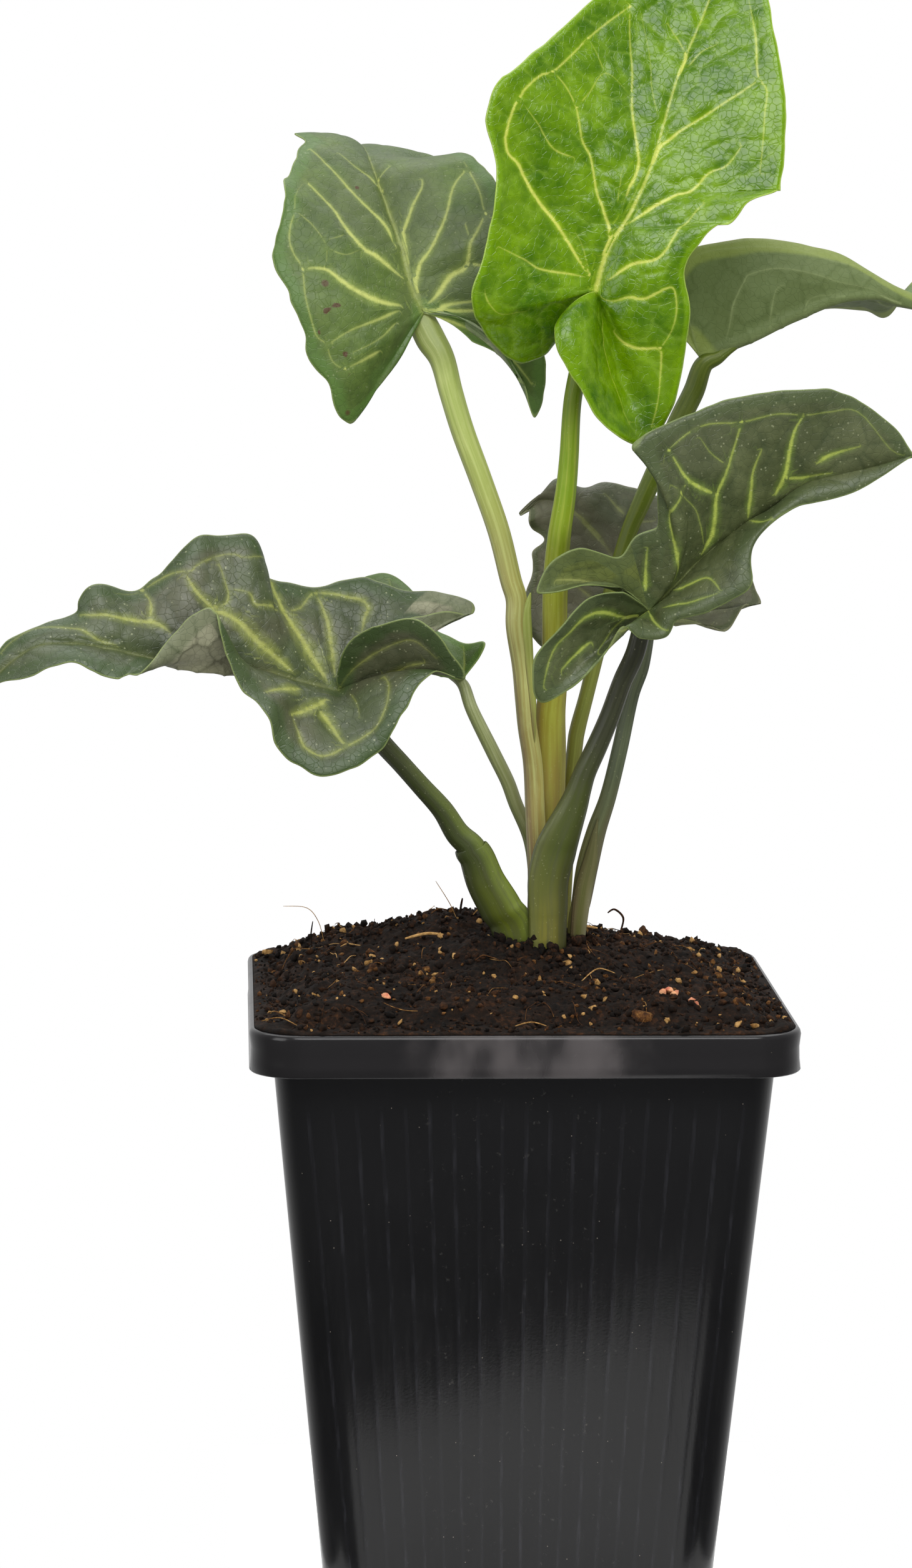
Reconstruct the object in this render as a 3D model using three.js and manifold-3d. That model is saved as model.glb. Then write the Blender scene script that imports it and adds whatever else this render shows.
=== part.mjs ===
// Potted arum: seven stalked arrow-shaped leaves in a square nursery pot of potting soil.
// Millimetres, +Z up. Origin: middle of the pot's underside. X to the right and Y away from the viewer,
// as the pot stands with one flat side to the front.
import * as THREE from "three";
import { mergeVertices } from "three/addons/utils/BufferGeometryUtils.js";
import Module from "manifold-3d";

const wasm = await Module();
wasm.setup();

// Driving dimensions of the pot, a standard 9 x 9 x 10 cm square one.
const POT_HEIGHT = 100;
const POT_RIM_HALF = 45;
const POT_BASE_HALF = 32;
const POT_WALL = 0.9;
const POT_FLOOR = 1.4;
const RIM_SKIRT = 7;
const RIM_CORNER = 9;
const BODY_CORNER = 7;
const BASE_CORNER = 6;
const BODY_HALF = 41;
const DRAIN_RADIUS = 3.5;
const DRAIN_FROM_MIDDLE = 20;

// The soil fills the pot to just under the rim and rises to a low mound: its height, the place of
// its middle, and the squares of its spread in X and Y.
const GAP = 0.3;
const SOIL_EDGE = 99;
const SOIL_SHOULDER = 5;
const SOIL_MOUND = [7, -5, 10, 600, 500];
const SOIL_CELLS = 28;
const CLOD_HEIGHT = 0.9;

// The tuber that the leaves grow from lies in the soil.
const TUBER_RADIUS = 15;
const TUBER_HALF_HEIGHT = 10;
const TUBER_MIDDLE = [4.5, 1.5, 82];

// Leaves: thickness of a blade, rays of its fan from one side to the tip, cells from midrib to margin.
const BLADE = 0.8;
const RAYS = 28;
const CELLS = 4;
const MIDRIB_DEPTH = 1.2;
const STALK_SIDES = 10;
const HOLE_BELOW = 3;

// ---- points and smooth rows of numbers ------------------------------------------------------------

// Smooth (Catmull-Rom) value at t, 0 to 1, along a list of rows of numbers.
function along(rows, t) {
  const last = rows.length - 1;
  const x = Math.min(Math.max(t, 0), 1) * last;
  const i = Math.min(Math.floor(x), last - 1);
  const f = x - i;
  const [a, b, c, d] = [rows[Math.max(i - 1, 0)], rows[i], rows[i + 1], rows[Math.min(i + 2, last)]];
  return b.map((value, k) => {
    const slope = c[k] - a[k];
    const bend = 2 * a[k] - 5 * value + 4 * c[k] - d[k];
    const turn = 3 * (value - c[k]) + d[k] - a[k];
    return value + 0.5 * f * (slope + f * (bend + f * turn));
  });
}

// A closed mesh from points and triangles, as a solid that can be joined and cut.
function solid(points, triangles) {
  const mesh = new wasm.Mesh({
    numProp: 3,
    vertProperties: Float32Array.from(points.flat()),
    triVerts: Uint32Array.from(triangles.flat()),
  });
  return new wasm.Manifold(mesh);
}

function solidOf(geometry) {
  const bare = geometry.clone();
  bare.deleteAttribute("normal");
  bare.deleteAttribute("uv");
  const merged = mergeVertices(bare, 1e-4);
  const mesh = new wasm.Mesh({
    numProp: 3,
    vertProperties: merged.attributes.position.array,
    triVerts: merged.index.array,
  });
  return new wasm.Manifold(mesh);
}

function geometryOf(body) {
  const mesh = body.getMesh();
  const geometry = new THREE.BufferGeometry();
  geometry.setAttribute("position", new THREE.BufferAttribute(mesh.vertProperties, 3));
  geometry.setIndex(new THREE.BufferAttribute(mesh.triVerts, 1));
  return geometry;
}

function largestPiece(body) {
  const pieces = body.decompose();
  pieces.sort((p, q) => q.volume() - p.volume());
  return pieces[0];
}

// Skin between rings of equal length, with a fan over the first and the last ring.
function skinRings(rings) {
  const sides = rings[0].length;
  const points = rings.flat();
  const triangles = [];
  for (let i = 0; i + 1 < rings.length; i += 1) {
    for (let k = 0; k < sides; k += 1) {
      const a = i * sides + k;
      const b = i * sides + ((k + 1) % sides);
      triangles.push([a, b, b + sides], [a, b + sides, a + sides]);
    }
  }
  const middle = (ring) => [0, 1, 2].map((k) => ring.reduce((sum, p) => sum + p[k], 0) / sides);
  const first = points.push(middle(rings[0])) - 1;
  const last = points.push(middle(rings[rings.length - 1])) - 1;
  const top = (rings.length - 1) * sides;
  for (let k = 0; k < sides; k += 1) {
    triangles.push([(k + 1) % sides, k, first], [top + k, top + ((k + 1) % sides), last]);
  }
  return [points, triangles];
}

// ---- leaves ---------------------------------------------------------------------------------------

// A stalk or ridge as a loft of ovals through [x, y, z, half width, half depth] stations.
function stalkSolid(stations, steps, sides, extra = 0) {
  const rings = [];
  for (let i = 0; i <= steps; i += 1) {
    const here = along(stations, i / steps);
    const ahead = along(stations, (i + 0.5) / steps);
    const behind = along(stations, (i - 0.5) / steps);
    const course = new THREE.Vector3(...[0, 1, 2].map((k) => ahead[k] - behind[k])).normalize();
    const across = new THREE.Vector3(1, 0, 0).addScaledVector(course, -course.x).normalize();
    const depth = new THREE.Vector3().crossVectors(course, across);
    const ring = [];
    for (let k = 0; k < sides; k += 1) {
      const turn = (2 * Math.PI * k) / sides;
      const out = new THREE.Vector3(...here.slice(0, 3))
        .addScaledVector(across, (here[3] + extra) * Math.cos(turn))
        .addScaledVector(depth, (here[4] + extra) * Math.sin(turn));
      ring.push(out.toArray());
    }
    rings.push(ring);
  }
  return solid(...skinRings(rings));
}

// The blade's middle surface: rays run from the midrib out to the margin on both sides. The rays of
// the lobes all start where the stalk meets the blade, the others from further and further up the midrib.
// A rib row holds the place on the midrib, then for the left and for the right side the point on the
// margin and how far the ray's middle swells away from a straight line.
function bladeSheet(leaf) {
  const rows = leaf.ribs.map((row) => row.flat());
  const points = [];
  const rays = [];
  const known = new Map();
  const keel = new Map();
  const keep = (point) => {
    const key = point.map((v) => v.toFixed(3)).join();
    if (!known.has(key)) known.set(key, points.push(point) - 1);
    return known.get(key);
  };
  for (let i = 0; i <= RAYS; i += 1) {
    const row = along(rows, i / RAYS);
    const root = along(leaf.midrib, row[0]);
    const ray = [];
    for (let j = -CELLS; j <= CELLS; j += 1) {
      const out = (Math.abs(j) / CELLS) ** 1.3;
      const side = j < 0 ? 1 : 7;
      ray.push(keep([0, 1, 2].map((k) => {
        const swell = 4 * out * (1 - out) * row[side + 3 + k];
        return root[k] * (1 - out) + row[side + k] * out + swell;
      })));
    }
    keel.set(ray[CELLS], Math.min(1, 2 * (1 - row[0])) * (i < RAYS ? 1 : 0));
    rays.push(ray);
  }
  const triangles = [];
  for (let i = 0; i < RAYS; i += 1) {
    for (let j = 0; j < 2 * CELLS; j += 1) {
      const [a, b, c, d] = [rays[i][j], rays[i][j + 1], rays[i + 1][j + 1], rays[i + 1][j]];
      triangles.push([a, b, c], [a, c, d]);
    }
  }
  const whole = triangles.filter(([a, b, c]) => a !== b && b !== c && c !== a);
  return { points, triangles: whole, keel };
}

function pointNormals(points, triangles) {
  const sums = points.map(() => new THREE.Vector3());
  for (const corners of triangles) {
    const [a, b, c] = corners.map((i) => new THREE.Vector3(...points[i]));
    const face = b.sub(a).cross(c.sub(a));
    corners.forEach((i) => sums[i].add(face));
  }
  return sums.map((sum) => sum.normalize());
}

// The sheet given a thickness: the same triangles on both faces, and a strip round the margin.
// Under the midrib the blade is thicker, less so toward the tip.
function bladeSolid(leaf) {
  const { points: middle, triangles, keel } = bladeSheet(leaf);
  const normals = pointNormals(middle, triangles);
  const shift = (amount) => middle.map((p, i) => normals[i].toArray().map((n, k) => p[k] + n * amount(i)));
  const top = shift(() => BLADE / 2);
  const under = shift((i) => -BLADE / 2 - MIDRIB_DEPTH * (keel.get(i) ?? 0));
  const count = middle.length;
  const faces = triangles.flatMap(([a, b, c]) => [[a, b, c], [a + count, c + count, b + count]]);
  const edges = new Set();
  for (const [a, b, c] of triangles) {
    for (const [p, q] of [[a, b], [b, c], [c, a]]) edges.add(`${p} ${q}`);
  }
  for (const edge of edges) {
    const [p, q] = edge.split(" ").map(Number);
    if (!edges.has(`${q} ${p}`)) faces.push([q, p, p + count], [q, p + count, q + count]);
  }
  return solid([...top, ...under], faces);
}

function leafSolid(leaf) {
  const stalk = stalkSolid(leaf.stalk, 2 * (leaf.stalk.length - 1), STALK_SIDES);
  return largestPiece(bladeSolid(leaf).add(stalk));
}

// Points of the seven leaves. The young leaf stands in the middle, tallest and palest.
const youngLeaf = {
  midrib: [
    [12.5, -5, 218.5], [14.5, -5, 225.5], [18, -4, 231], [22, -1, 239.5], [26.5, 5, 253.5],
    [32.5, 12, 267], [37, 20, 278],
  ],
  ribs: [
    [0, [6, -3, 210], [0, 0, 0], [6, -11, 214.5], [0, -1, 0.8]],
    [0, [4.5, -3, 208], [0, -0.5, 0], [5, -13.5, 212.5], [0, -2, 0.3]],
    [0, [2.5, -3.4, 207], [0, -1, 0], [5.5, -15, 209], [0, -2.6, 0]],
    [0, [-0.5, -4, 206.5], [0, -1.5, 0], [9, -15.5, 203], [0, -2.5, 0]],
    [0, [-4, -6, 209], [0, -1.5, 0], [13, -14, 197], [0, -1, 0]],
    [0, [-6.5, -8, 212], [0, -1.5, 0], [20, -10, 193], [0, 1, 0]],
    [0, [-8, -10, 214.5], [0, -1.5, 0], [24.5, -8, 197.5], [0, -1, 0]],
    [0, [-8.5, -11, 218.5], [0, -1, 0], [26.5, -7, 203.5], [0, -2, 0]],
    [0.02, [-6.5, -11, 224.5], [0, 0, 0], [28, -8, 214.5], [0, -2, 0]],
    [0.07, [-5, -10, 231], [0, 1, 0], [27, -8, 222], [0, -1.5, 0]],
    [0.16, [-4.5, -8, 239], [0, 1.5, 0], [29.5, -7.5, 226.5], [0, -1, 0]],
    [0.24, [-6, -6.6, 245], [0, 1.2, 0], [32.5, -6.8, 229.5], [0, -0.4, 0]],
    [0.28, [-6, -6, 247.5], [0, 1, 0], [35, -6.5, 230], [0, 0, 0]],
    [0.34, [-5, -4.8, 251.5], [0, 1, 0], [38, -5.4, 233.5], [0, 0, 0]],
    [0.4, [-3.5, -3.6, 253.5], [0, 1, 0], [42.5, -3.8, 235], [0, 0, 0]],
    [0.43, [-2, -2.8, 254.5], [0, 1, 0], [43.5, -3, 236.5], [0, 0, 0]],
    [0.56, [5, 2, 260], [0, 1, 0], [44.5, 2, 249.5], [0, 0, 0]],
    [0.72, [13.5, 8, 267.5], [0, 1, 0], [43, 7, 261.5], [0, 0, 0]],
    [0.87, [24.5, 14, 274], [0, 0.5, 0], [41, 13, 271.5], [0, 0, 0]],
    [1, [37, 20, 278], [0, 0, 0], [37, 20, 278], [0, 0, 0]],
  ],
  stalk: [
    [5.5, 4.8, 92.5, 2.1, 1.15], [5.5, 4.8, 108.5, 2.2, 1.15], [6, 4.7, 119, 2.4, 1.25],
    [6, 4.5, 126.5, 2.6, 1.4], [6, 4, 133.5, 2.7, 1.6], [6, 3.4, 140.5, 2.75, 1.8],
    [6, 2.6, 147, 2.55, 2], [6.5, 1.7, 153, 2.25, 2.1], [6.5, 0.8, 160, 2.1, 2.1],
    [6.5, 0, 169, 2.1, 2], [7, -0.8, 177, 1.95, 1.9], [8, -1.3, 184.5, 1.75, 1.75],
    [8.5, -1.5, 190.5, 1.62, 1.62], [9, -2, 200, 1.5, 1.5], [10.5, -2.4, 208.5, 1.5, 1.5],
    [11, -3.2, 214, 1.5, 1.4], [12.5, -5, 218.5, 1.3, 1.1],
  ],
};

const upperLeftLeaf = {
  midrib: [
    [-16, 6, 214.5], [-18, 7, 219.5], [-19.5, 10, 225.5], [-22, 15, 232.5], [-24.5, 22, 239.5],
    [-26, 33, 242], [-27.5, 43, 239.5], [-29, 50, 235],
  ],
  ribs: [
    [0, [-25, 2, 204], [1.5, 1, 0], [-7.5, 5, 209.5], [0, 0, 1]],
    [0, [-26, 1, 200], [1, 0, 0], [-1.5, 4, 206.5], [0.5, -0.5, 2]],
    [0, [-27, 0, 197.5], [1, -1, 0], [1, 3, 202.5], [1.3, -1, 3.2]],
    [0, [-28.5, -1, 196], [0, -1, 0], [2, 4, 198.5], [2.5, -1, 3.2]],
    [0, [-30.5, -2, 197.5], [0, -1.5, 0], [3, 5, 196.5], [2.5, -1, 3]],
    [0, [-32, -3, 202.5], [0, -2, 0], [4.5, 6, 199], [2.5, -1, 2.4]],
    [0, [-35, -3, 207], [0, -2, 0], [5, 6, 203.5], [1, -1, 0.8]],
    [0, [-36.5, -2, 212.5], [0, -2, 0], [5, 5, 208.5], [0, 0, 0]],
    [0.02, [-38.5, -1, 217.5], [0, -2, 0], [4, 5, 213.5], [0, 0, 0]],
    [0.06, [-41, 1, 223], [0, -2, 0], [2.5, 5, 219.5], [0, 0, 0]],
    [0.12, [-41, 3.5, 226.5], [0, -2, 0], [1, 6, 225.5], [0, 0, 0]],
    [0.16, [-40, 5.5, 229.5], [0, -2, 0], [0.5, 7, 227.5], [0, -0.5, 0]],
    [0.19, [-39, 7, 231.5], [0, -2, 0], [0, 8, 229], [0, -1, 0]],
    [0.22, [-39.5, 9, 234.5], [0, -1.5, 0], [-0.5, 9, 230.5], [0, -1, 0]],
    [0.28, [-39, 12, 236.5], [0, -1.5, 0], [-2, 11.5, 233], [0, -1, 0]],
    [0.34, [-37.5, 15, 239], [0, -1.5, 0], [-3, 14, 235.5], [0, -1.5, 0]],
    [0.42, [-36.5, 19, 241.5], [0, -1.5, 0.3], [-5, 17.5, 238], [0, -1.5, 0]],
    [0.48, [-35.5, 22, 243], [0, -1.5, 0.5], [-7, 20, 240], [0, -2, 0]],
    [0.54, [-37, 25.5, 244], [0, -1, 1.2], [-9, 24, 240.5], [0, -1.5, 0]],
    [0.59, [-35, 29, 244], [0, -1, 1.2], [-11.5, 29, 238.5], [0, -1.5, 0.5]],
    [0.64, [-33.5, 33, 243], [0, -1, 1.5], [-11, 33, 239], [0, -1, 1]],
    [0.82, [-31.5, 43, 239.5], [0, 0, 1], [-17.5, 43, 237.5], [0, 0, 1]],
    [1, [-29, 50, 235], [0, 0, 0], [-29, 50, 235], [0, 0, 0]],
  ],
  stalk: [
    [4.5, 1, 92.5, 1.6, 1], [4, 1, 109, 1.65, 1], [4, 0.7, 119.5, 1.65, 1.1],
    [3.5, 0.3, 129.5, 1.65, 1.2], [3, -0.3, 138.5, 1.62, 1.35], [2, -0.7, 145, 1.62, 1.5],
    [1.5, -0.8, 150, 1.65, 1.65], [1, -0.7, 155.5, 1.7, 1.75], [0, -0.5, 162, 1.75, 1.8],
    [0, -0.2, 166.5, 1.8, 1.8], [-1, 0.2, 170, 1.8, 1.8], [-3, 1.5, 178, 1.85, 1.8],
    [-6, 2.5, 186.5, 1.9, 1.9], [-9, 3.5, 194.5, 1.95, 1.9], [-11, 4.3, 201, 2, 1.9],
    [-12.5, 5.2, 206.5, 2.15, 1.85], [-14.5, 6.2, 210, 2.5, 1.7], [-16, 6.8, 214.5, 2.3, 1.3],
  ],
};

// The broad leaf low on the left. Its near margin rises in one arch over the midrib.
const leftLeaf = {
  midrib: [
    [-30, -8, 152], [-36, -9, 153.5], [-40.5, -10, 155], [-45, -11, 155.5], [-50, -12, 156],
    [-55, -13, 157], [-61.5, -14, 158], [-67.5, -15, 159.5], [-74, -16, 160.5], [-80.5, -17, 160],
    [-86, -18, 156], [-89.5, -19, 151.5],
  ],
  ribs: [
    [0, [-24.5, -15, 163.5], [-2, -1, 1], [-18.5, -4, 163.5], [0, 0, 0]],
    [0, [-18.5, -16, 165], [-1, -1, 1.5], [-12, -3, 165], [0, 0, 0]],
    [0, [-13.5, -16, 162], [0, -1, 2], [-7.5, -1, 164], [0, -1, 1]],
    [0, [-9, -13, 154.5], [0, -1, 2], [-7.5, 1, 166], [0, -1, 1.5]],
    [0, [-15, -15, 155], [0, -1.5, 1.5], [-13, 2, 168], [0, -1, 1]],
    [0, [-19.5, -18, 149.5], [0, -2, 1], [-18.5, 2, 168], [0, -1, 0]],
    [0, [-22, -20, 145], [0, -2, 1], [-22.5, 2, 169], [0, -1, 0]],
    [0, [-24, -21, 143], [0, -2, 1], [-25.5, 3, 170], [0, -1, 0]],
    [0, [-28, -23, 140.5], [0, -2, 1], [-29.5, 2, 169.5], [0, -1, 0]],
    [0.02, [-33.5, -24, 139.5], [0, -2, 1], [-34, 1, 168.5], [0, -1, 0]],
    [0.06, [-40, -23, 143.5], [0, -2, 1], [-38.5, 0, 169], [0, -1, 0]],
    [0.11, [-42, -22, 149], [0, -2, 1], [-42.5, -1, 171], [0, -1.5, 0]],
    [0.17, [-45.5, -20, 152.5], [0, -2, 0.5], [-42.5, -1, 174.5], [0, -1.5, 0]],
    [0.24, [-49, -19, 159], [0, -2, 0], [-44.5, -2, 177.5], [0, -1.5, 0]],
    [0.32, [-51.5, -18, 167], [0, -2, 0], [-50, -3, 177.5], [0, -1.5, 0]],
    [0.41, [-57.5, -18, 162.5], [0, -2, 0], [-55, -5, 176.5], [0, -1.5, 0]],
    [0.49, [-62.5, -20, 156.5], [0, -1, 0], [-60.5, -7, 171], [0, -1, 0]],
    [0.54, [-65, -21, 156], [0, -1, 0], [-64, -8, 169], [0, -1, 0]],
    [0.57, [-66.5, -22, 155.5], [0, -1, 0], [-67.5, -9, 169.5], [0, -1, 0]],
    [0.61, [-69, -22, 156], [0, -1, 0], [-71, -10, 169.5], [0, -1, 0]],
    [0.64, [-71, -22, 157], [0, -1, 0], [-73, -10.5, 167.5], [0, -1, 0]],
    [0.7, [-74.5, -21, 158], [0, -1, 0], [-74, -11.5, 165], [0, -1, 0]],
    [0.84, [-80.5, -21, 155.5], [0, -0.5, 0], [-81, -14, 162.5], [0, -0.5, 0]],
    [0.93, [-86, -20, 154.5], [0, -0.3, 0], [-86, -16, 160], [0, -0.3, 0]],
    [1, [-89.5, -19, 151.5], [0, 0, 0], [-89.5, -19, 151.5], [0, 0, 0]],
  ],
  stalk: [
    [1.5, -1.2, 92.5, 3.1, 1.2], [0, -1.4, 109.5, 3.6, 1.3], [-2.5, -2.6, 114.5, 3.55, 1.5],
    [-5, -3.2, 119, 3.25, 1.7], [-6.5, -3.6, 123, 2.95, 1.9], [-7.5, -3.8, 124.5, 2.8, 1.9],
    [-8, -3.9, 125.5, 2.25, 1.9], [-10, -4, 127.5, 2.05, 1.9], [-12.5, -4.6, 131.5, 1.8, 1.8],
    [-16, -5.4, 135.5, 1.65, 1.7], [-19.5, -6.4, 139.5, 1.6, 1.7], [-23.5, -7.4, 144, 1.65, 1.7],
    [-27, -8, 149, 1.7, 1.7], [-30, -8, 152, 1.5, 1.2],
  ],
};

const leftRearLeaf = {
  midrib: [
    [-8.5, 9, 152], [-12.5, 14, 155], [-19, 21, 158], [-27.5, 30, 159.5], [-35, 38, 157.5],
  ],
  ribs: [
    [0, [-10, 5, 153.5], [0, 0, 0], [-6, 9, 156], [0, 0, 0]],
    [0, [-12.5, 3, 154], [0, 0, 0], [-5, 10, 158.5], [0, 0, 0]],
    [0, [-15.5, 3, 154], [0, 0, 0], [-8, 14, 158], [0, 0, 0]],
    [0.06, [-18.5, 5, 153.5], [0, 0, 1], [-12.5, 18, 159.5], [0, -1, 0.5]],
    [0.18, [-21.5, 9, 154], [0, 0, 1], [-14.5, 22, 162], [0, -1, 0.5]],
    [0.33, [-24.5, 13, 154.5], [0, 0, 1], [-16.5, 27, 165.5], [0, -1, 0.5]],
    [0.5, [-27.5, 18, 154.5], [0, 0, 1], [-19.5, 31, 168], [0, -1, 0.5]],
    [0.66, [-30, 24, 155], [0, 0, 1], [-23.5, 34, 168], [0, -1, 0.5]],
    [0.84, [-33, 32, 156], [0, 0, 0.5], [-29, 38, 164.5], [0, -0.5, 0.5]],
    [1, [-35, 38, 157.5], [0, 0, 0], [-35, 38, 157.5], [0, 0, 0]],
  ],
  stalk: [
    [4.5, 8.4, 92.5, 1.2, 1.1], [4.5, 8.2, 108, 1.2, 1.1], [4, 7.9, 118.5, 1.2, 1.15],
    [3, 7.6, 125, 1.2, 1.2], [0.5, 7, 131, 1.2, 1.2], [-1, 6.8, 135, 1.2, 1.2],
    [-3.5, 6.6, 140, 1.2, 1.2], [-7, 7.6, 147, 1.1, 1.1], [-8.5, 8.4, 149.5, 1.05, 1],
    [-9, 9, 151.5, 0.9, 0.8],
  ],
};

const rightRearLeaf = {
  midrib: [
    [31.5, 12, 206.5], [36.5, 12, 209], [41, 12, 211], [47, 12, 214], [54.5, 12, 217],
    [61.5, 13, 217.5], [66.5, 14, 216], [76, 17, 214],
  ],
  ribs: [
    [0, [35.5, 20, 207.5], [0, 0, 0], [29, 10, 209.5], [0, 0, 0]],
    [0, [35, 32, 208], [0, 0, 0], [26.5, 9, 212.5], [0, 0, 0]],
    [0, [34, 40, 209], [0, 0, 1], [25, 9, 216], [0, 0, 0]],
    [0, [37.5, 38, 210], [0, 0, 1], [25.5, 10, 220], [0, 0, 0]],
    [0.05, [40, 34, 209.5], [0, 0, 1], [27.5, 11, 223.5], [0, -1, 0]],
    [0.15, [42, 30, 209.5], [0, 0, 1], [30.5, 12, 225.5], [0, -1.5, 0]],
    [0.3, [48, 28, 212], [0, 0, 1], [36, 13, 226.5], [0, -2, 0]],
    [0.45, [54.5, 26, 214.5], [0, 0, 0.5], [42, 14, 227], [0, -2, 0]],
    [0.6, [61, 24, 214.5], [0, 0, 0.5], [49.5, 15, 225.5], [0, -2, 0]],
    [0.73, [65, 23, 213.5], [0, 0, 0], [56, 15, 224], [0, -1.5, 0]],
    [0.87, [71, 24, 220.5], [0, 0, 0], [64.5, 15, 219], [0, -1, 0]],
    [1, [76, 17, 214], [0, 0, 0], [76, 17, 214], [0, 0, 0]],
  ],
  stalk: [
    [8, 7.8, 92.5, 1.6, 1], [8.5, 7.7, 108, 1.5, 1], [9, 7.5, 118.5, 1.4, 1.1],
    [9.5, 7.2, 129.5, 1.35, 1.2], [10.5, 6.8, 140.5, 1.35, 1.3], [11, 6.7, 144, 1.35, 1.3],
    [12.5, 6.5, 150, 1.25, 1.3], [14.5, 6.8, 158.5, 1.3, 1.3], [16.5, 7.4, 167, 1.35, 1.35],
    [19, 8.1, 176, 1.35, 1.4], [21.5, 8.8, 182, 1.55, 1.5], [25, 9.8, 189.5, 1.75, 1.6],
    [28, 10.6, 196, 1.8, 1.7], [30.5, 11.4, 201, 1.8, 1.7], [32.5, 12, 204.5, 1.6, 1.5],
    [33, 12, 207.5, 1.3, 1.2],
  ],
};

const rightFrontLeaf = {
  midrib: [
    [21.5, -10, 165.5], [26, -10, 170], [30, -9, 174], [37.5, -8, 180], [42, -7, 182.5],
    [48, -7, 186.5], [55, -7, 188.5], [60.5, -7, 190], [65.5, -8, 191.5],
  ],
  ribs: [
    [0, [17, -13, 169.5], [0, 0, 0.5], [16.5, -18, 169.5], [0, -1, 0.5]],
    [0, [9.5, -17, 170.5], [0, 0, 2], [10.5, -20, 168.5], [0, -1, 1]],
    [0, [2.5, -17, 169], [0, 0, 3], [5.5, -21, 163.5], [0, -1, 1]],
    [0, [4.5, -16, 174], [0, 0, 2], [1.5, -21, 158.5], [0, -1, 1]],
    [0, [9.5, -15, 176.5], [0, 0, 1], [2.5, -20, 151.5], [0, -1, 1]],
    [0, [16, -13, 175], [0, 0, 0], [8, -19, 153.5], [0, -1.5, 1]],
    [0, [19, -13, 178.5], [0, 0, 0], [13, -18, 158.5], [0, -2, 1]],
    [0, [22.5, -13, 180], [0.5, -0.5, 0], [16.5, -17, 163.5], [0, -2, 0]],
    [0, [22.5, -14, 185], [1.9, -1, 0], [19.5, -17, 161.5], [0, -2, 0]],
    [0, [21, -15, 190.5], [3.8, -1.5, 0], [24, -16, 161.5], [0, -2, 0]],
    [0.03, [18, -16, 193], [5.6, -2, -0.4], [25.5, -16, 164.5], [0, -2, 0]],
    [0.07, [19.5, -15.5, 195], [5, -2, 0], [28.5, -16.5, 165.5], [0, -2, 0]],
    [0.11, [22.5, -15, 196.5], [3.6, -1.5, 0], [31.5, -17, 166.5], [0, -2, 0]],
    [0.23, [32.5, -13, 200.5], [1.2, -1.5, 0], [37.5, -17, 170], [0, -2, 0]],
    [0.4, [44, -11, 202.5], [0, -1.5, 0], [38.5, -14, 177], [0, -2, 0]],
    [0.6, [53.5, -9, 202], [0, -1.5, 0], [44.5, -11, 182.5], [0, -1, 0]],
    [0.8, [62, -8, 196.5], [0, -1, 0], [56, -9, 185.5], [0, -0.5, 0]],
    [1, [65.5, -8, 191.5], [0, 0, 0], [65.5, -8, 191.5], [0, 0, 0]],
  ],
  stalk: [
    [5.5, -3.8, 92.5, 3, 1.1], [5.5, -3.8, 110, 3.1, 1.1], [5.5, -3.9, 114.5, 3.25, 1.2],
    [5.5, -4, 119.5, 3.4, 1.3], [6.5, -4.2, 124, 3.5, 1.4], [7.5, -4.5, 127, 3.2, 1.5],
    [9.5, -4.8, 132, 2.45, 1.65], [10.5, -5, 135, 2.05, 1.75], [11.5, -5.1, 138, 1.85, 1.8],
    [13.5, -5.3, 142.5, 1.75, 1.8], [15.5, -5.8, 147.5, 1.65, 1.75], [17.5, -6.8, 153.5, 1.6, 1.75],
    [19.5, -8.3, 158.5, 1.6, 1.7], [21, -9.4, 163, 1.55, 1.5], [21.5, -10, 165.5, 1.4, 1.2],
  ],
};

const centreRearLeaf = {
  midrib: [
    [23.5, 13, 162.5], [19.5, 13, 168.5], [15.5, 13, 175], [10.5, 13, 180], [5.5, 13, 182.5],
    [1, 11, 180],
  ],
  ribs: [
    [0, [15, 10, 158], [0, 0, 0], [28, 11, 161], [0, 0, 0]],
    [0, [9, 9, 156], [0, -1, 0], [33, 9, 161.5], [0, 0, 0]],
    [0, [5, 8, 157.5], [0, -1, 0], [37, 8, 161], [0, 0, 0]],
    [0, [2, 9, 161.5], [0, -1, 0], [39.5, 10, 164.5], [0, -1, 0]],
    [0, [2, 10, 166.5], [0, -1, 0], [42.5, 11, 164.5], [0, -1, 0]],
    [0, [3, 10, 169.5], [0, -1, 0], [41.5, 13, 168], [0, -1, 0]],
    [0.08, [3, 10, 172], [0, -1, 0], [37.5, 16, 174], [0, -1, 0]],
    [0.2, [3, 10, 174], [0, 0, 0], [31.5, 18, 180.5], [0, -1, 0]],
    [0.36, [5, 11, 176], [0, 0, 0], [24.5, 19, 183], [0, -1, 0]],
    [0.52, [3, 11, 177.5], [0, 0, 0], [16.5, 18, 185.5], [0, -1, 0]],
    [0.68, [2.5, 10, 179], [0, 0, 0], [12, 16, 184.5], [0, -1, 0]],
    [0.84, [2.5, 11, 181], [0, 0, 0], [7, 14, 186], [0, -1, 0]],
    [1, [1, 11, 180], [0, 0, 0], [1, 11, 180], [0, 0, 0]],
  ],
  stalk: [
    [10.5, 1.2, 92.5, 1.2, 1.3], [10.5, 1.4, 109.5, 1.3, 1.3], [11.5, 1.5, 115, 1.65, 1.4],
    [12.5, 1.7, 121, 1.85, 1.5], [14, 2, 127, 1.65, 1.5], [16, 2.4, 133, 1.4, 1.4],
    [18, 3.6, 141, 1.35, 1.4], [20, 6, 149.5, 1.3, 1.4], [22, 8.5, 155, 1.35, 1.4],
    [23.5, 11.5, 160, 1.4, 1.3], [23.5, 13, 162.5, 1.2, 1],
  ],
};

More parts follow.
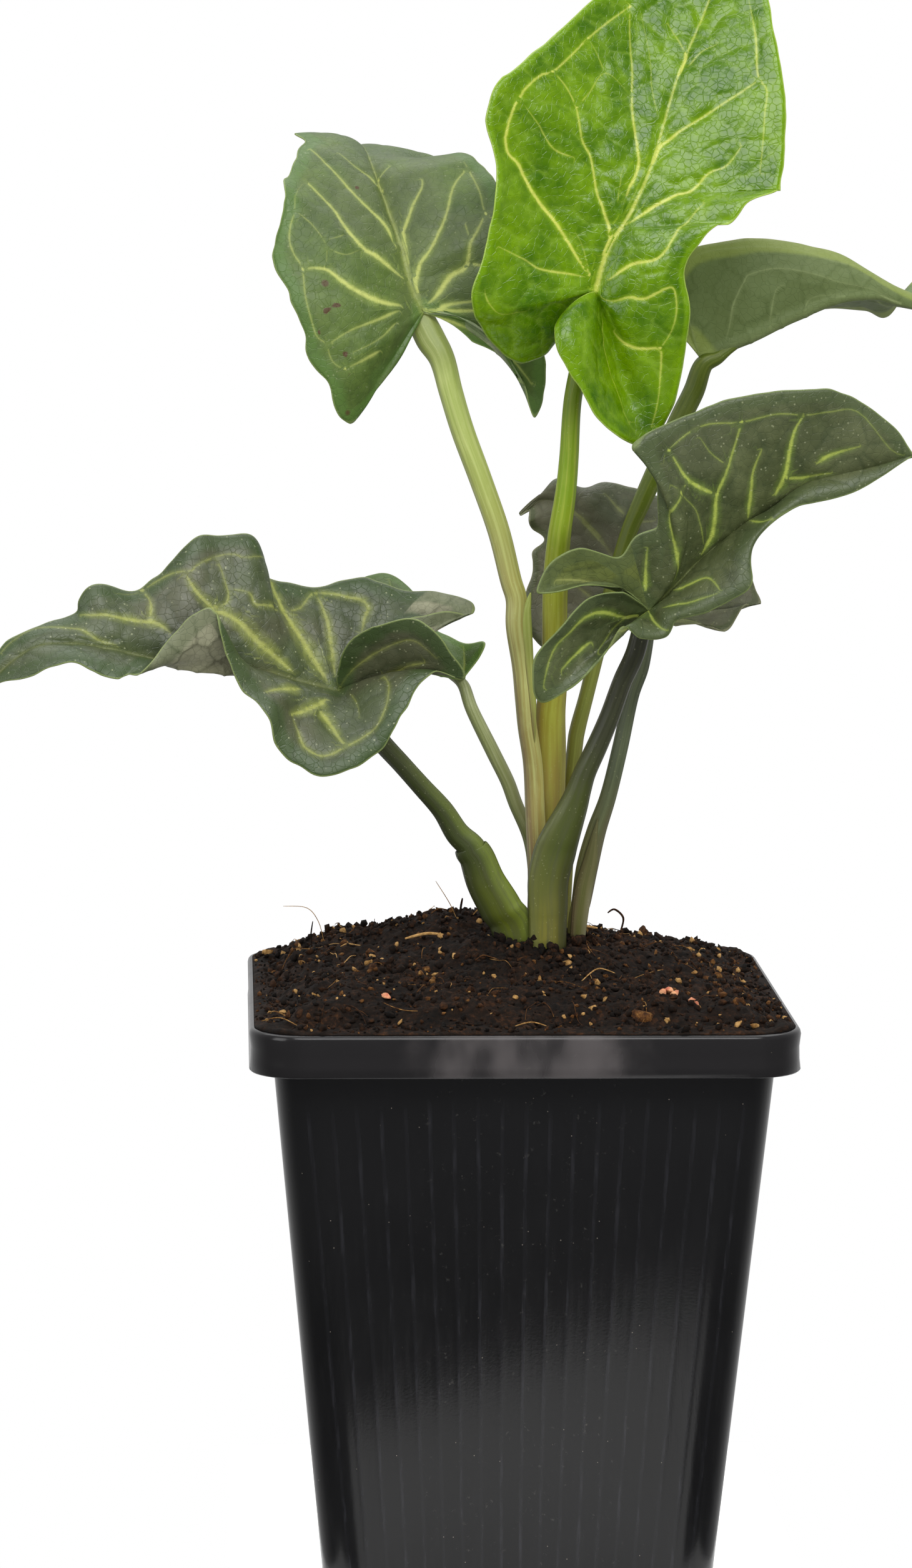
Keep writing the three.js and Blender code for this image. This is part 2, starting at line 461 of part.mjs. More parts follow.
const leaves = [
  ["leaf_young", youngLeaf, 0x5f9a22],
  ["leaf_upper_left", upperLeftLeaf, 0x62774c],
  ["leaf_left", leftLeaf, 0x5d7350],
  ["leaf_left_rear", leftRearLeaf, 0x5c7b3f],
  ["leaf_right_rear", rightRearLeaf, 0x6b8355],
  ["leaf_right_front", rightFrontLeaf, 0x4a5f3f],
  ["leaf_centre_rear", centreRearLeaf, 0x5b6552],
];

// ---- pot, tuber and soil --------------------------------------------------------------------------

// A level ring round a square of a given half width with round corners.
function squareRing(half, corner, z) {
  const ring = [];
  const steps = 5;
  for (let quarter = 0; quarter < 4; quarter += 1) {
    for (let k = 0; k <= steps; k += 1) {
      const turn = (Math.PI / 2) * (quarter + k / steps);
      const signX = quarter === 0 || quarter === 3 ? 1 : -1;
      const signY = quarter < 2 ? 1 : -1;
      const x = signX * (half - corner) + corner * Math.cos(turn);
      const y = signY * (half - corner) + corner * Math.sin(turn);
      ring.push([x, y, z]);
    }
  }
  return ring;
}

// Half width of the pot's outer wall, and its corner radius, at a height.
function potHalf(z) {
  return POT_BASE_HALF + ((BODY_HALF - POT_BASE_HALF) * z) / (POT_HEIGHT - RIM_SKIRT);
}

function potCorner(z) {
  return BASE_CORNER + ((BODY_CORNER - BASE_CORNER) * z) / POT_HEIGHT;
}

// One moulded wall: up the outside, out under the turned-down rim, over it and down the inside.
function potSolid() {
  const lip = POT_HEIGHT - POT_WALL;
  const wall = (z, inset) => squareRing(potHalf(z) - inset, potCorner(z) - inset, z);
  const rings = [
    wall(0, 0.6),
    wall(0.6, 0),
    wall(30, 0),
    wall(60, 0),
    wall(POT_HEIGHT - RIM_SKIRT, 0),
    wall(lip, 0),
    squareRing(POT_RIM_HALF - POT_WALL, RIM_CORNER - POT_WALL, lip),
    squareRing(POT_RIM_HALF - POT_WALL, RIM_CORNER - POT_WALL, POT_HEIGHT - RIM_SKIRT),
    squareRing(POT_RIM_HALF, RIM_CORNER, POT_HEIGHT - RIM_SKIRT),
    squareRing(POT_RIM_HALF, RIM_CORNER, POT_HEIGHT - 0.7),
    squareRing(POT_RIM_HALF - 0.7, RIM_CORNER - 0.7, POT_HEIGHT),
    wall(POT_HEIGHT, POT_WALL),
    wall(60, POT_WALL),
    wall(30, POT_WALL),
    wall(POT_FLOOR, POT_WALL),
  ];
  let pot = solid(...skinRings(rings));
  for (const [sideX, sideY] of [[1, 1], [1, -1], [-1, 1], [-1, -1]]) {
    const drain = new THREE.CylinderGeometry(DRAIN_RADIUS, DRAIN_RADIUS, 3 * POT_FLOOR, 20);
    drain.rotateX(Math.PI / 2);
    drain.translate(sideX * DRAIN_FROM_MIDDLE, sideY * DRAIN_FROM_MIDDLE, POT_FLOOR / 2);
    pot = pot.subtract(solidOf(drain));
  }
  return pot;
}

// A squat round tuber with a slightly lumpy skin.
function tuberSolid(extra = 0) {
  const rings = [];
  const [middleX, middleY, middleZ] = TUBER_MIDDLE;
  const steps = 8;
  const sides = 18;
  for (let i = 1; i < steps; i += 1) {
    const tilt = -Math.PI / 2 + (Math.PI * i) / steps;
    const ring = [];
    for (let k = 0; k < sides; k += 1) {
      const turn = (2 * Math.PI * k) / sides;
      const lump = 1 + 0.05 * Math.sin(3 * turn + 2 * tilt);
      const radius = (TUBER_RADIUS * lump + extra) * Math.cos(tilt);
      const x = middleX + radius * Math.cos(turn);
      const y = middleY + radius * Math.sin(turn);
      ring.push([x, y, middleZ + (TUBER_HALF_HEIGHT + extra) * Math.sin(tilt)]);
    }
    rings.push(ring);
  }
  return solid(...skinRings(rings));
}

// A number from 0 to 1 for a grid corner, the same on every run.
function chance(i, j) {
  const value = Math.sin(i * 127.1 + j * 311.7) * 43758.5453;
  return value - Math.floor(value);
}

// Smooth lumps about as wide as the given size, from -1 to 1.
function clods(x, y, size) {
  const i = Math.floor(x / size);
  const j = Math.floor(y / size);
  const ease = (f) => f * f * (3 - 2 * f);
  const u = ease(x / size - i);
  const v = ease(y / size - j);
  const near = chance(i, j) * (1 - u) + chance(i + 1, j) * u;
  const far = chance(i, j + 1) * (1 - u) + chance(i + 1, j + 1) * u;
  return 2 * (near * (1 - v) + far * v) - 1;
}

// Height of the soil's surface: it stands up from the rim to a low mound, uneven with clods.
function soilHeight(x, y) {
  const reach = Math.max(Math.abs(x), Math.abs(y)) / (potHalf(POT_HEIGHT) - POT_WALL);
  const [mound, middleX, middleY, widthX, widthY] = SOIL_MOUND;
  const swell = mound * Math.exp(-((x - middleX) ** 2 / widthX + (y - middleY) ** 2 / widthY));
  const shoulder = SOIL_SHOULDER * (1 - reach ** 9);
  const lumps = clods(x, y, 7) + 0.45 * clods(x + 40, y, 3.3);
  return SOIL_EDGE + swell + shoulder + CLOD_HEIGHT * lumps * (1 - 0.6 * reach ** 4);
}

// The soil fills the pot: a block with the pot's inner shape, cut to the uneven surface,
// with a hollow for the tuber and a plain hole for each stalk.
function soilSolid(leafList) {
  const inset = POT_WALL + GAP;
  const ring = (z) => squareRing(potHalf(z) - inset, potCorner(z) - inset, z);
  const block = solid(...skinRings([ring(POT_FLOOR + GAP), ring(60), ring(130)]));
  const span = 2 * POT_RIM_HALF;
  const level = [];
  const base = [];
  for (let i = 0; i <= SOIL_CELLS; i += 1) {
    for (let j = 0; j <= SOIL_CELLS; j += 1) {
      const x = span * (i / SOIL_CELLS - 0.5);
      const y = span * (j / SOIL_CELLS - 0.5);
      level.push([x, y, soilHeight(x, y)]);
      base.push([x, y, -5]);
    }
  }
  const row = SOIL_CELLS + 1;
  const count = level.length;
  const faces = [];
  for (let i = 0; i < SOIL_CELLS; i += 1) {
    for (let j = 0; j < SOIL_CELLS; j += 1) {
      const [a, b, c, d] = [i * row + j, (i + 1) * row + j, (i + 1) * row + j + 1, i * row + j + 1];
      faces.push([a, b, c], [a, c, d]);
      faces.push([a + count, c + count, b + count], [a + count, d + count, c + count]);
    }
  }
  for (let k = 0; k < SOIL_CELLS; k += 1) {
    const sides = [
      [k, k + 1],
      [SOIL_CELLS * row + k + 1, SOIL_CELLS * row + k],
      [(k + 1) * row, k * row],
      [k * row + SOIL_CELLS, (k + 1) * row + SOIL_CELLS],
    ];
    for (const [p, q] of sides) faces.push([p, q, q + count], [p, q + count, p + count]);
  }
  let soil = block.intersect(solid([...level, ...base], faces));
  soil = soil.subtract(tuberSolid(GAP));
  for (const [, leaf] of leafList) {
    const [x, y, z, ...halves] = leaf.stalk[0];
    const hole = [[x, y, z - HOLE_BELOW, ...halves], ...leaf.stalk.slice(0, 5)];
    soil = soil.subtract(stalkSolid(hole, 2 * (hole.length - 1), STALK_SIDES, GAP));
  }
  return largestPiece(soil);
}

// ---- the plant in its pot -------------------------------------------------------------------------

function piece(name, body, color, roughness) {
  const material = new THREE.MeshStandardMaterial({ color, roughness, metalness: 0 });
  const mesh = new THREE.Mesh(geometryOf(body), material);
  mesh.name = name;
  return mesh;
}

const plant = new THREE.Group();
plant.add(piece("pot", potSolid(), 0x1b1b1d, 0.42));
plant.add(piece("soil", soilSolid(leaves), 0x2a1c14, 0.95));
plant.add(piece("tuber", tuberSolid(), 0x8a6a48, 0.8));
for (const [name, leaf, color] of leaves) plant.add(piece(name, leafSolid(leaf), color, 0.4));

export default plant;
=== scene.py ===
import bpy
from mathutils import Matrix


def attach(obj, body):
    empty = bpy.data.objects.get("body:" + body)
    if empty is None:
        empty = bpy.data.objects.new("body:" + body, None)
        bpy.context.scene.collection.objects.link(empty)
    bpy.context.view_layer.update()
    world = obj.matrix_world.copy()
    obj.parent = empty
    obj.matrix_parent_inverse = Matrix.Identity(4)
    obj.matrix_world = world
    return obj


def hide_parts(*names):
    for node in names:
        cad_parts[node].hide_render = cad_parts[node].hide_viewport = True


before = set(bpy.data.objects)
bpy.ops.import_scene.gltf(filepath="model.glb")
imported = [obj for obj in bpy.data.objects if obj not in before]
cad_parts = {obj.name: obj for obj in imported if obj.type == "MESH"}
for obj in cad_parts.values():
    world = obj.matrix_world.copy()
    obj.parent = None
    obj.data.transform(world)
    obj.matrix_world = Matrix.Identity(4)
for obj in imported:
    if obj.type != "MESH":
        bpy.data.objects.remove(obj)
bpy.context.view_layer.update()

import math

import bmesh
import bpy
import numpy as np
from mathutils import Matrix

# ---- pot ----
# A square nursery pot, moulded in one piece from thin black polypropylene. Its wall tapers down,
# has faint upright ribs, and turns out and down at the top into a rim band that stiffens it.

MM = 0.001
POT_HEIGHT = 100
POT_WALL = 0.9
POT_FLOOR = 1.4
RIM_BAND = 7
RIM_HALF = 45
RIM_CORNER = 9
BODY_HALF = 41
BASE_HALF = 32
BODY_CORNER = 7
BASE_CORNER = 6
RIBS_A_SIDE = 17
RIB_HEIGHT = 0.03
DRAIN_RADIUS = 3.5
DRAIN_FROM_MIDDLE = 20
DRAIN_SIDES = 40
# Steps over the rim's rounded top: how far below it and how far in from its side.
ROUNDED_RIM = [(0.9, 0), (0.4, 0.12), (0.1, 0.4), (0, 0.9)]


def pot_half(z):
    """Half the pot's width at a height."""
    return BASE_HALF + (BODY_HALF - BASE_HALF) * z / (POT_HEIGHT - RIM_BAND)


def pot_corner(z):
    """How round the pot's corners are at a height."""
    return BASE_CORNER + (BODY_CORNER - BASE_CORNER) * z / POT_HEIGHT


def square_ring(half, corner, z, rib=0.0, flat=8 * RIBS_A_SIDE, bend=10):
    """Points of a level ring round a square with round corners; ribs stand out along its flats."""
    step = np.arange(flat) / flat
    crest = np.abs((step * RIBS_A_SIDE) % 1 - 0.5) * 2 * (half - corner) / RIBS_A_SIDE
    out = half + rib * np.exp(-((crest / 0.5) ** 2)) * (np.sin(np.pi * step) > 0.08)
    side = np.stack([out, (2 * step - 1) * (half - corner)], 1)
    turn = np.pi / 2 * np.arange(bend) / bend
    arc = (half - corner) + corner * np.stack([np.cos(turn), np.sin(turn)], 1)
    quarter = np.concatenate([side, arc])
    rings = []
    for _ in range(4):
        rings.append(quarter)
        quarter = quarter @ np.array([[0, 1], [-1, 0]])
    ring = np.concatenate(rings)
    return np.column_stack([ring, np.full(len(ring), z)])


def skin_rings(rings):
    """Quads between rings of equal length, with a fan over the first ring and over the last."""
    sides = len(rings[0])
    points = np.concatenate([*rings, [rings[0].mean(0)], [rings[-1].mean(0)]])
    k = np.arange(sides)
    after = (k + 1) % sides
    faces = []
    for i in range(len(rings) - 1):
        low = i * sides
        faces += np.stack([low + k, low + after, low + sides + after, low + sides + k], 1).tolist()
    top = (len(rings) - 1) * sides
    faces += np.stack([after, k, np.full(sides, len(points) - 2)], 1).tolist()
    faces += np.stack([top + k, top + after, np.full(sides, len(points) - 1)], 1).tolist()
    return points, faces


def set_out(name, data):
    """Puts a mesh, light or camera into the scene."""
    thing = bpy.data.objects.new(name, data)
    bpy.context.scene.collection.objects.link(thing)
    return thing


def make_piece(name, points, faces, finish, slot, node, marks=None):
    """A smooth mesh from points in millimetres that stands for a CAD node and moves with the plant.
    Marks are named numbers, one for each point, that its material reads."""
    mesh = bpy.data.meshes.new(name)
    mesh.from_pydata((np.asarray(points) * MM).tolist(), [], faces)
    mesh.update()
    mesh.polygons.foreach_set("use_smooth", [True] * len(mesh.polygons))
    for label, values in (marks or {}).items():
        layer = mesh.attributes.new(label, "FLOAT", "POINT")
        layer.data.foreach_set("value", np.asarray(values, np.float32))
    mesh.materials.append(finish)
    piece = set_out(name, mesh)
    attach(piece, "root")
    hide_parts(node)
    return piece


class Flow:
    """A value, vector or colour on its way through a material's nodes. Arithmetic adds nodes."""

    def __init__(self, tree, out=None):
        self.tree = tree
        self.out = out

    def node(self, kind, settings=None, sockets=None, give=0):
        """Adds a node: its settings are made first, then its sockets get values or links."""
        made = self.tree.nodes.new("ShaderNode" + kind)
        for name, value in (settings or {}).items():
            if name == "stops":
                ramp = made.color_ramp.elements
                while len(ramp) < len(value):
                    ramp.new(0.5)
                for stop, (place, colour) in zip(ramp, value):
                    stop.position = place
                    stop.color = colour
            else:
                setattr(made, name, value)
        for name, value in (sockets or {}).items():
            if isinstance(value, Flow):
                self.tree.links.new(value.out, made.inputs[name])
            else:
                made.inputs[name].default_value = value
        return Flow(self.tree, made.outputs[give])

    def reckon(self, operation, first, second=None):
        """A sum of one or two values, or of vectors if either of them is one."""
        flows = [value for value in (first, second) if isinstance(value, Flow)]
        if any(flow.out.type != "VALUE" for flow in flows):
            return self.reckon_vector(operation, first, second)
        sockets = {0: first} if second is None else {0: first, 1: second}
        return self.node("Math", {"operation": operation}, sockets)

    def reckon_vector(self, operation, first, second):
        if operation == "MULTIPLY":
            for vector, size in ((first, second), (second, first)):
                if np.isscalar(size) or isinstance(size, Flow) and size.out.type == "VALUE":
                    sockets = {0: vector, "Scale": size}
                    return self.node("VectorMath", {"operation": "SCALE"}, sockets)
        return self.node("VectorMath", {"operation": operation}, {0: first, 1: second})

    def __add__(self, other):
        return self.reckon("ADD", self, other)

    __radd__ = __add__

    def __mul__(self, other):
        return self.reckon("MULTIPLY", self, other)

    __rmul__ = __mul__

    def __sub__(self, other):
        return self.reckon("SUBTRACT", self, other)

    def __rsub__(self, other):
        return self.reckon("SUBTRACT", other, self)

    def __truediv__(self, other):
        return self.reckon("DIVIDE", self, other)

    def __abs__(self):
        return self.reckon("ABSOLUTE", self)

    def axis(self, name):
        """A vector's X, Y or Z."""
        return self.node("SeparateXYZ", {}, {0: self}, name)

    def band(self, low, high):
        """0 below low, 1 above high, smooth between; the other way round if low is above high."""
        ends = {"Value": self, "From Min": low, "From Max": high}
        return self.node("MapRange", {"interpolation_type": "SMOOTHSTEP"}, ends)

    def tint(self, first, second):
        """The first colour where this is 0 and the second where it is 1."""
        return self.node("Mix", {"data_type": "RGBA"}, {0: self, 6: first, 7: second}, 2)

    def noise(self, scale, detail=2.0, rough=0.5, stretch=None):
        """Soft random values over a vector in millimetres; scale is lumps for each millimetre."""
        place = self * stretch if stretch else self
        sockets = {"Vector": place, "Scale": scale, "Detail": detail, "Roughness": rough}
        return self.node("TexNoise", {}, sockets)

    def cells(self, scale, give="Distance", feature="F1"):
        """Distances or random colours of cells; scale is cells for each millimetre."""
        sockets = {"Vector": self, "Scale": scale}
        return self.node("TexVoronoi", {"feature": feature}, sockets, give)

    def feed(self, shader, socket):
        """Links this to a shader's socket."""
        self.tree.links.new(self.out, shader.inputs[socket])


def paint(code):
    """The linear colour of a web colour code."""
    parts = [int(code[i : i + 2], 16) / 255 for i in (0, 2, 4)]
    linear = [c / 12.92 if c <= 0.04045 else ((c + 0.055) / 1.055) ** 2.4 for c in parts]
    return (*linear, 1.0)


def new_finish(name, constants):
    """A material, its main shader with the sockets that are the same all over set, and its points'
    places in millimetres."""
    material = bpy.data.materials.new(name)
    material.use_nodes = True
    shader = material.node_tree.nodes["Principled BSDF"]
    for socket, value in constants.items():
        shader.inputs[socket].default_value = value
    return material, shader, Flow(material.node_tree).node("TexCoord", give="Object") * (1 / MM)


def mark(flow, name):
    """The numbers that a mesh carries under a name."""
    return flow.node("Attribute", {"attribute_name": name}, give="Fac")


def bump(flow, height, strength, depth):
    """A fine relief: depth is in millimetres for a height of 1."""
    sockets = {"Height": height, "Strength": strength, "Distance": depth * MM}
    return flow.node("Bump", {}, sockets, "Normal")


def pot_plastic():
    """Black plastic, glossy and faintly cloudy: ribs show as fine lines, the band has a paler,
    rougher patch in the middle of each face, and painted light makes the body paler toward the top.
    """
    material, shader, place = new_finish("pot_plastic", {"Specular IOR Level": 0.29})
    x, y, height = place.axis("X"), place.axis("Y"), place.axis("Z")
    streaks = place.noise(1.0, 3.0, 0.6, (1.3, 1.3, 0.035)).band(0.45, 0.75)
    clouds = place.noise(0.05, 4.0, 0.6).band(0.4, 0.75)
    middle = (abs(x) + place.noise(0.15, 3.0, 0.6) * 10).band(26, 15)
    # A patch toward the middle of the front and back faces: paler and rougher on the rim band, and
    # flecked with pale dust.
    band_patch = place.noise(0.16, 2.0, 0.5, (1.0, 1.0, 0.5)).band(0.15, 0.65) * middle
    on_band = height.band(POT_HEIGHT - RIM_BAND - 0.5, POT_HEIGHT - RIM_BAND + 0.5)
    dust = place.noise(0.9, 5.0, 0.7).band(0.62, 0.72) * band_patch
    grit = place.cells(0.55).band(0.06, 0.03) * place.cells(0.55, "Color").band(0.62, 0.7)
    body = (streaks * 0.35 + clouds * 0.4).tint(paint("0a0a0b"), paint("141415"))
    # Painted light: the body turns paler toward the top, where more light falls on it.
    body = (height.band(35, 95) * 0.8).tint(body, paint("161617"))
    on_side = (abs(x) - abs(y)).band(-1, 1)
    rib_place = (on_side * y + (1 - on_side) * x) / (3.06 + height * 0.0101)
    ribs = rib_place.reckon("PINGPONG", rib_place, 0.5).band(0.13, 0.03) * height.band(90, 84)
    body = (ribs * (0.12 + streaks * 0.5)).tint(body, paint("27272b"))
    band = on_band.tint(body, paint("1c1b1c"))
    banded = (band_patch * on_band * 0.9).tint(band, paint("4a4646"))
    soiled = (dust * 0.35).tint(banded, paint("55534f"))
    (grit * 0.6).tint(soiled, paint("8b8378")).feed(shader, "Base Color")
    (0.17 + streaks * 0.03 + clouds * 0.05 + band_patch * on_band * 0.25).feed(shader, "Roughness")
    grain = place.noise(2.2, 3.0, 0.6) + streaks * 0.4
    bump(place, grain, 0.2, 0.04).feed(shader, "Normal")
    return material


def pot_rings():
    """Up the outside, out under the turned-down band, over it and down the inside."""
    lip = POT_HEIGHT - POT_WALL
    under = POT_HEIGHT - RIM_BAND

    def wall(z, inset, rib=0.0):
        return square_ring(pot_half(z) - inset, pot_corner(z) - inset, z, rib)

    def band(z, inset):
        return square_ring(RIM_HALF - inset, RIM_CORNER - inset, z)

    rings = [wall(0, 1.2), wall(0.15, 0.5), wall(0.6, 0.1), wall(1.2, 0)]
    for z in np.arange(3.0, under - 1, 3.0):
        rings.append(wall(z, 0, RIB_HEIGHT * min(1, (z - 1) / 8, (under - z) / 8)))
    rings += [wall(under, 0), wall(lip - 1, 0), wall(lip, 0.1)]
    rings += [band(lip, POT_WALL + 0.6), band(lip - 0.6, POT_WALL), band(under + 0.2, POT_WALL)]
    rings += [band(under, POT_WALL - 0.2), band(under, 0.25), band(under + 0.25, 0)]
    rings += [band(z, 0.25 * math.sin((z - under) / RIM_BAND * math.pi)) for z in (95, 97)]
    rings += [band(POT_HEIGHT - down, inset) for down, inset in ROUNDED_RIM]
    rings += [wall(POT_HEIGHT, POT_WALL - 0.4), wall(POT_HEIGHT - 0.3, POT_WALL)]
    rings += [wall(z, POT_WALL) for z in (85, 60, 30, POT_FLOOR + 1)]
    return rings + [wall(POT_FLOOR, POT_WALL + 1)]


pot = make_piece("pot_moulding", *skin_rings(pot_rings()), pot_plastic(), "pot_plastic", "pot")
drills = bmesh.new()
for side_x in (-1, 1):
    for side_y in (-1, 1):
        spot = (side_x * DRAIN_FROM_MIDDLE * MM, side_y * DRAIN_FROM_MIDDLE * MM, 0)
        bmesh.ops.create_cone(
            drills, cap_ends=True, segments=DRAIN_SIDES, radius1=DRAIN_RADIUS * MM,
            radius2=DRAIN_RADIUS * MM, depth=4 * POT_FLOOR * MM, matrix=Matrix.Translation(spot),
        )
drill_mesh = bpy.data.meshes.new("drills")
drills.to_mesh(drill_mesh)
drills.free()
drill = set_out("drills", drill_mesh)
cut = pot.modifiers.new("drain_holes", "BOOLEAN")
cut.operation = "DIFFERENCE"
cut.solver = "EXACT"
cut.object = drill
drilled = pot.evaluated_get(bpy.context.evaluated_depsgraph_get())
pot_mesh = bpy.data.meshes.new_from_object(drilled)
pot.modifiers.clear()
pot.data = pot_mesh
bpy.data.objects.remove(drill)

# ---- soil ----
# Dark peat potting soil fills the pot to the rim, spills onto its ledge and rises to a low mound.
# It is a bed of fine clods with loose crumbs, bits of bark, straw and root fibre lying on it.

GAP = 0.3
SOIL_EDGE = 99
SOIL_SHOULDER = 5
SOIL_MOUND = (7, -5, 10, 600, 500)
CLOD_HEIGHT = 0.9
SOIL_CELLS = 250
SPILL_HALF = 44.2


def chance(i, j):
    """A number from 0 to 1 that looks random but is always the same for one i and j."""
    value = np.sin(i * 127.1 + j * 311.7) * 43758.5453
    return value - np.floor(value)


def clods(x, y, size):
    """Smooth lumps about as wide as the given size, from -1 to 1."""
    i, j = np.floor(x / size), np.floor(y / size)
    u, v = x / size - i, y / size - j
    u, v = u * u * (3 - 2 * u), v * v * (3 - 2 * v)
    near = chance(i, j) * (1 - u) + chance(i + 1, j) * u
    far = chance(i, j + 1) * (1 - u) + chance(i + 1, j + 1) * u
    return 2 * (near * (1 - v) + far * v) - 1


def soil_height(x, y):
    """The solid's uneven surface, the finer clods on it, and a thin spill over the pot's ledge."""
    inner = pot_half(POT_HEIGHT) - POT_WALL
    far = np.maximum(np.abs(x), np.abs(y))
    reach = np.minimum(far / inner, 1)
    mound, middle_x, middle_y, width_x, width_y = SOIL_MOUND
    swell = mound * np.exp(-((x - middle_x) ** 2 / width_x + (y - middle_y) ** 2 / width_y))
    lumps = clods(x, y, 7) + 0.45 * clods(x + 40, y, 3.3)
    coarse = CLOD_HEIGHT * lumps * (1 - 0.6 * reach**4)
    fine = 0.5 * clods(x, y + 90, 2.6) + 0.75 * np.abs(clods(x + 7, y, 1.5)) ** 0.7
    fine = fine + 0.45 * np.abs(clods(x, y - 30, 0.8)) - 0.3
    height = SOIL_EDGE + swell + SOIL_SHOULDER * (1 - reach**9) + coarse + fine
    ledge = POT_HEIGHT + 0.55 + 0.45 * clods(x, y, 2.6) + 0.5 * fine
    height = np.where(far > inner - 1.5, np.maximum(height, ledge), height)
    fade = np.clip((SPILL_HALF - far) / 2.2, 0, 1) ** 0.6
    return np.where(far > inner - 0.5, POT_HEIGHT + 0.05 + (height - POT_HEIGHT) * fade, height)


def ground(x, y):
    """The soil's height at one place."""
    return float(soil_height(np.array(float(x)), np.array(float(y))))


def even_ring(half, corner, z, count):
    """Evenly spaced points of a level ring round a square with round corners."""
    flat, bend = 2 * (half - corner), np.pi / 2 * corner
    walk = np.arange(count) / count * 4 * (flat + bend)
    side = np.floor(walk / (flat + bend)).astype(int)
    gone = walk - side * (flat + bend)
    turn = np.clip(gone - flat, 0, None) / max(corner, 1e-6)
    x = half - corner + corner * np.cos(turn)
    y = np.minimum(gone, flat) - flat / 2 + corner * np.sin(turn)
    quarter = side * np.pi / 2
    ring_x = x * np.cos(quarter) - y * np.sin(quarter)
    ring_y = x * np.sin(quarter) + y * np.cos(quarter)
    return np.column_stack([ring_x, ring_y, np.full(count, float(z))])


def soil_body():
    """Rings of a square grid: the ground from its middle out, under the spill, and down the pot."""
    steps = np.arange(SOIL_CELLS // 2 + 1) / (SOIL_CELLS // 2)
    around = 2 * SOIL_CELLS
    levels = []
    for step in steps[1:]:
        half = SPILL_HALF * step
        ring = even_ring(half, min(RIM_CORNER, half * 0.98) * step**3, 0, around)
        ring[:, 2] = soil_height(ring[:, 0], ring[:, 1])
        levels.append(ring)
    levels = levels[::-1]
    levels[0][:, 2] = POT_HEIGHT + 0.08
    inset = POT_WALL + GAP
    for z in (POT_HEIGHT + 0.04, 98, 80, 40, POT_FLOOR + GAP + 1, POT_FLOOR + GAP):
        extra = 1.0 if z == POT_FLOOR + GAP else 0
        half, corner = pot_half(z) - inset - extra, pot_corner(z) - inset - extra
        levels.insert(0, even_ring(half, corner, z, around))
    return skin_rings(levels)


def soil_finish():
    """Peat from near black to warm brown, darker where it is damp; marks give loose bits a tone."""
    constants = {"Roughness": 0.92, "Specular IOR Level": 0.25}
    material, shader, place = new_finish("potting_soil", constants)
    tone = mark(place, "tone")
    grain = place.noise(1.1, 6.0, 0.75)
    damp = place.noise(0.12, 3.0, 0.5).band(0.35, 0.7)
    value = grain * 1.3 + damp * 0.12 + tone * 0.9 - 0.5
    tones = {0: "070402", 0.25: "1e1209", 0.45: "402715", 0.62: "67421f", 0.8: "9b7440"}
    tones[1] = "d0a468"
    stops = [(stop, paint(code)) for stop, code in tones.items()]
    body = value.node("ValToRGB", {"stops": stops}, {0: value}, "Color")
    body.feed(shader, "Base Color")
    bump(place, place.noise(2.6, 6.0, 0.75), 0.9, 0.5).feed(shader, "Normal")
    return material


soil_look = soil_finish()


def make_soil(name, points, faces, tones):
    """A piece of the soil, with a tone for each of its points."""
    make_piece(name, points, faces, soil_look, "potting_soil", "soil", {"tone": tones})


soil_points, soil_faces = soil_body()
soil_tones = 0.1 * clods(soil_points[:, 0], soil_points[:, 1], 1.7)
make_soil("soil_bed", soil_points, soil_faces, soil_tones)

CRUMBS = 5200
CRUMB_REACH = 56
CRUMB_TONES = {-0.1: 0.27, 0.0: 0.26, 0.1: 0.22, 0.2: 0.14, 0.42: 0.07, 0.8: 0.04}
CRUMBS_AT_A_FOOT = 34
STALK_FEET = [(1.5, -1.4, 3.4), (7.0, -3.8, 3.0), (11.5, 1.5, 1.4), (4.5, 3, 2.0)]
draw = np.random.default_rng(11)


def lump_ball(detail):
    """Points and faces of an even ball that crumbs and chips are squashed from."""
    ball = bmesh.new()
    bmesh.ops.create_icosphere(ball, subdivisions=detail, radius=1.0)
    points = np.array([corner.co for corner in ball.verts])
    faces = [[corner.index for corner in face.verts] for face in ball.faces]
    ball.free()
    return points, faces


def gather(parts):
    """Joins (points, faces, tone) bits into one set of points, faces and tones."""
    points, faces, tones, count = [], [], [], 0
    for some, corners, tone in parts:
        points.append(some)
        faces += [[k + count for k in face] for face in corners]
        tones.append(np.full(len(some), tone))
        count += len(some)
    return np.concatenate(points), faces, np.concatenate(tones)


def crumb(middle, size, squash, tone, ball):
    """One angular crumb: a ball with bulges and with facets cut off it, squashed and turned."""
    points, faces = ball
    bulges = draw.normal(size=(4, 3))
    swell = 1 + 0.22 * np.sin(points @ bulges.T * 2.2).sum(1) / 2
    for facet in draw.normal(size=(6, 3)):
        facet /= np.linalg.norm(facet)
        over = np.maximum(points @ facet - draw.uniform(0.35, 0.7), 0)
        points = points - over[:, None] * facet
    turn, _ = np.linalg.qr(draw.normal(size=(3, 3)))
    if np.linalg.det(turn) < 0:
        turn = -turn
    shaped = points * swell[:, None] * size * np.array(squash)
    return shaped @ turn.T + np.array(middle), faces, tone


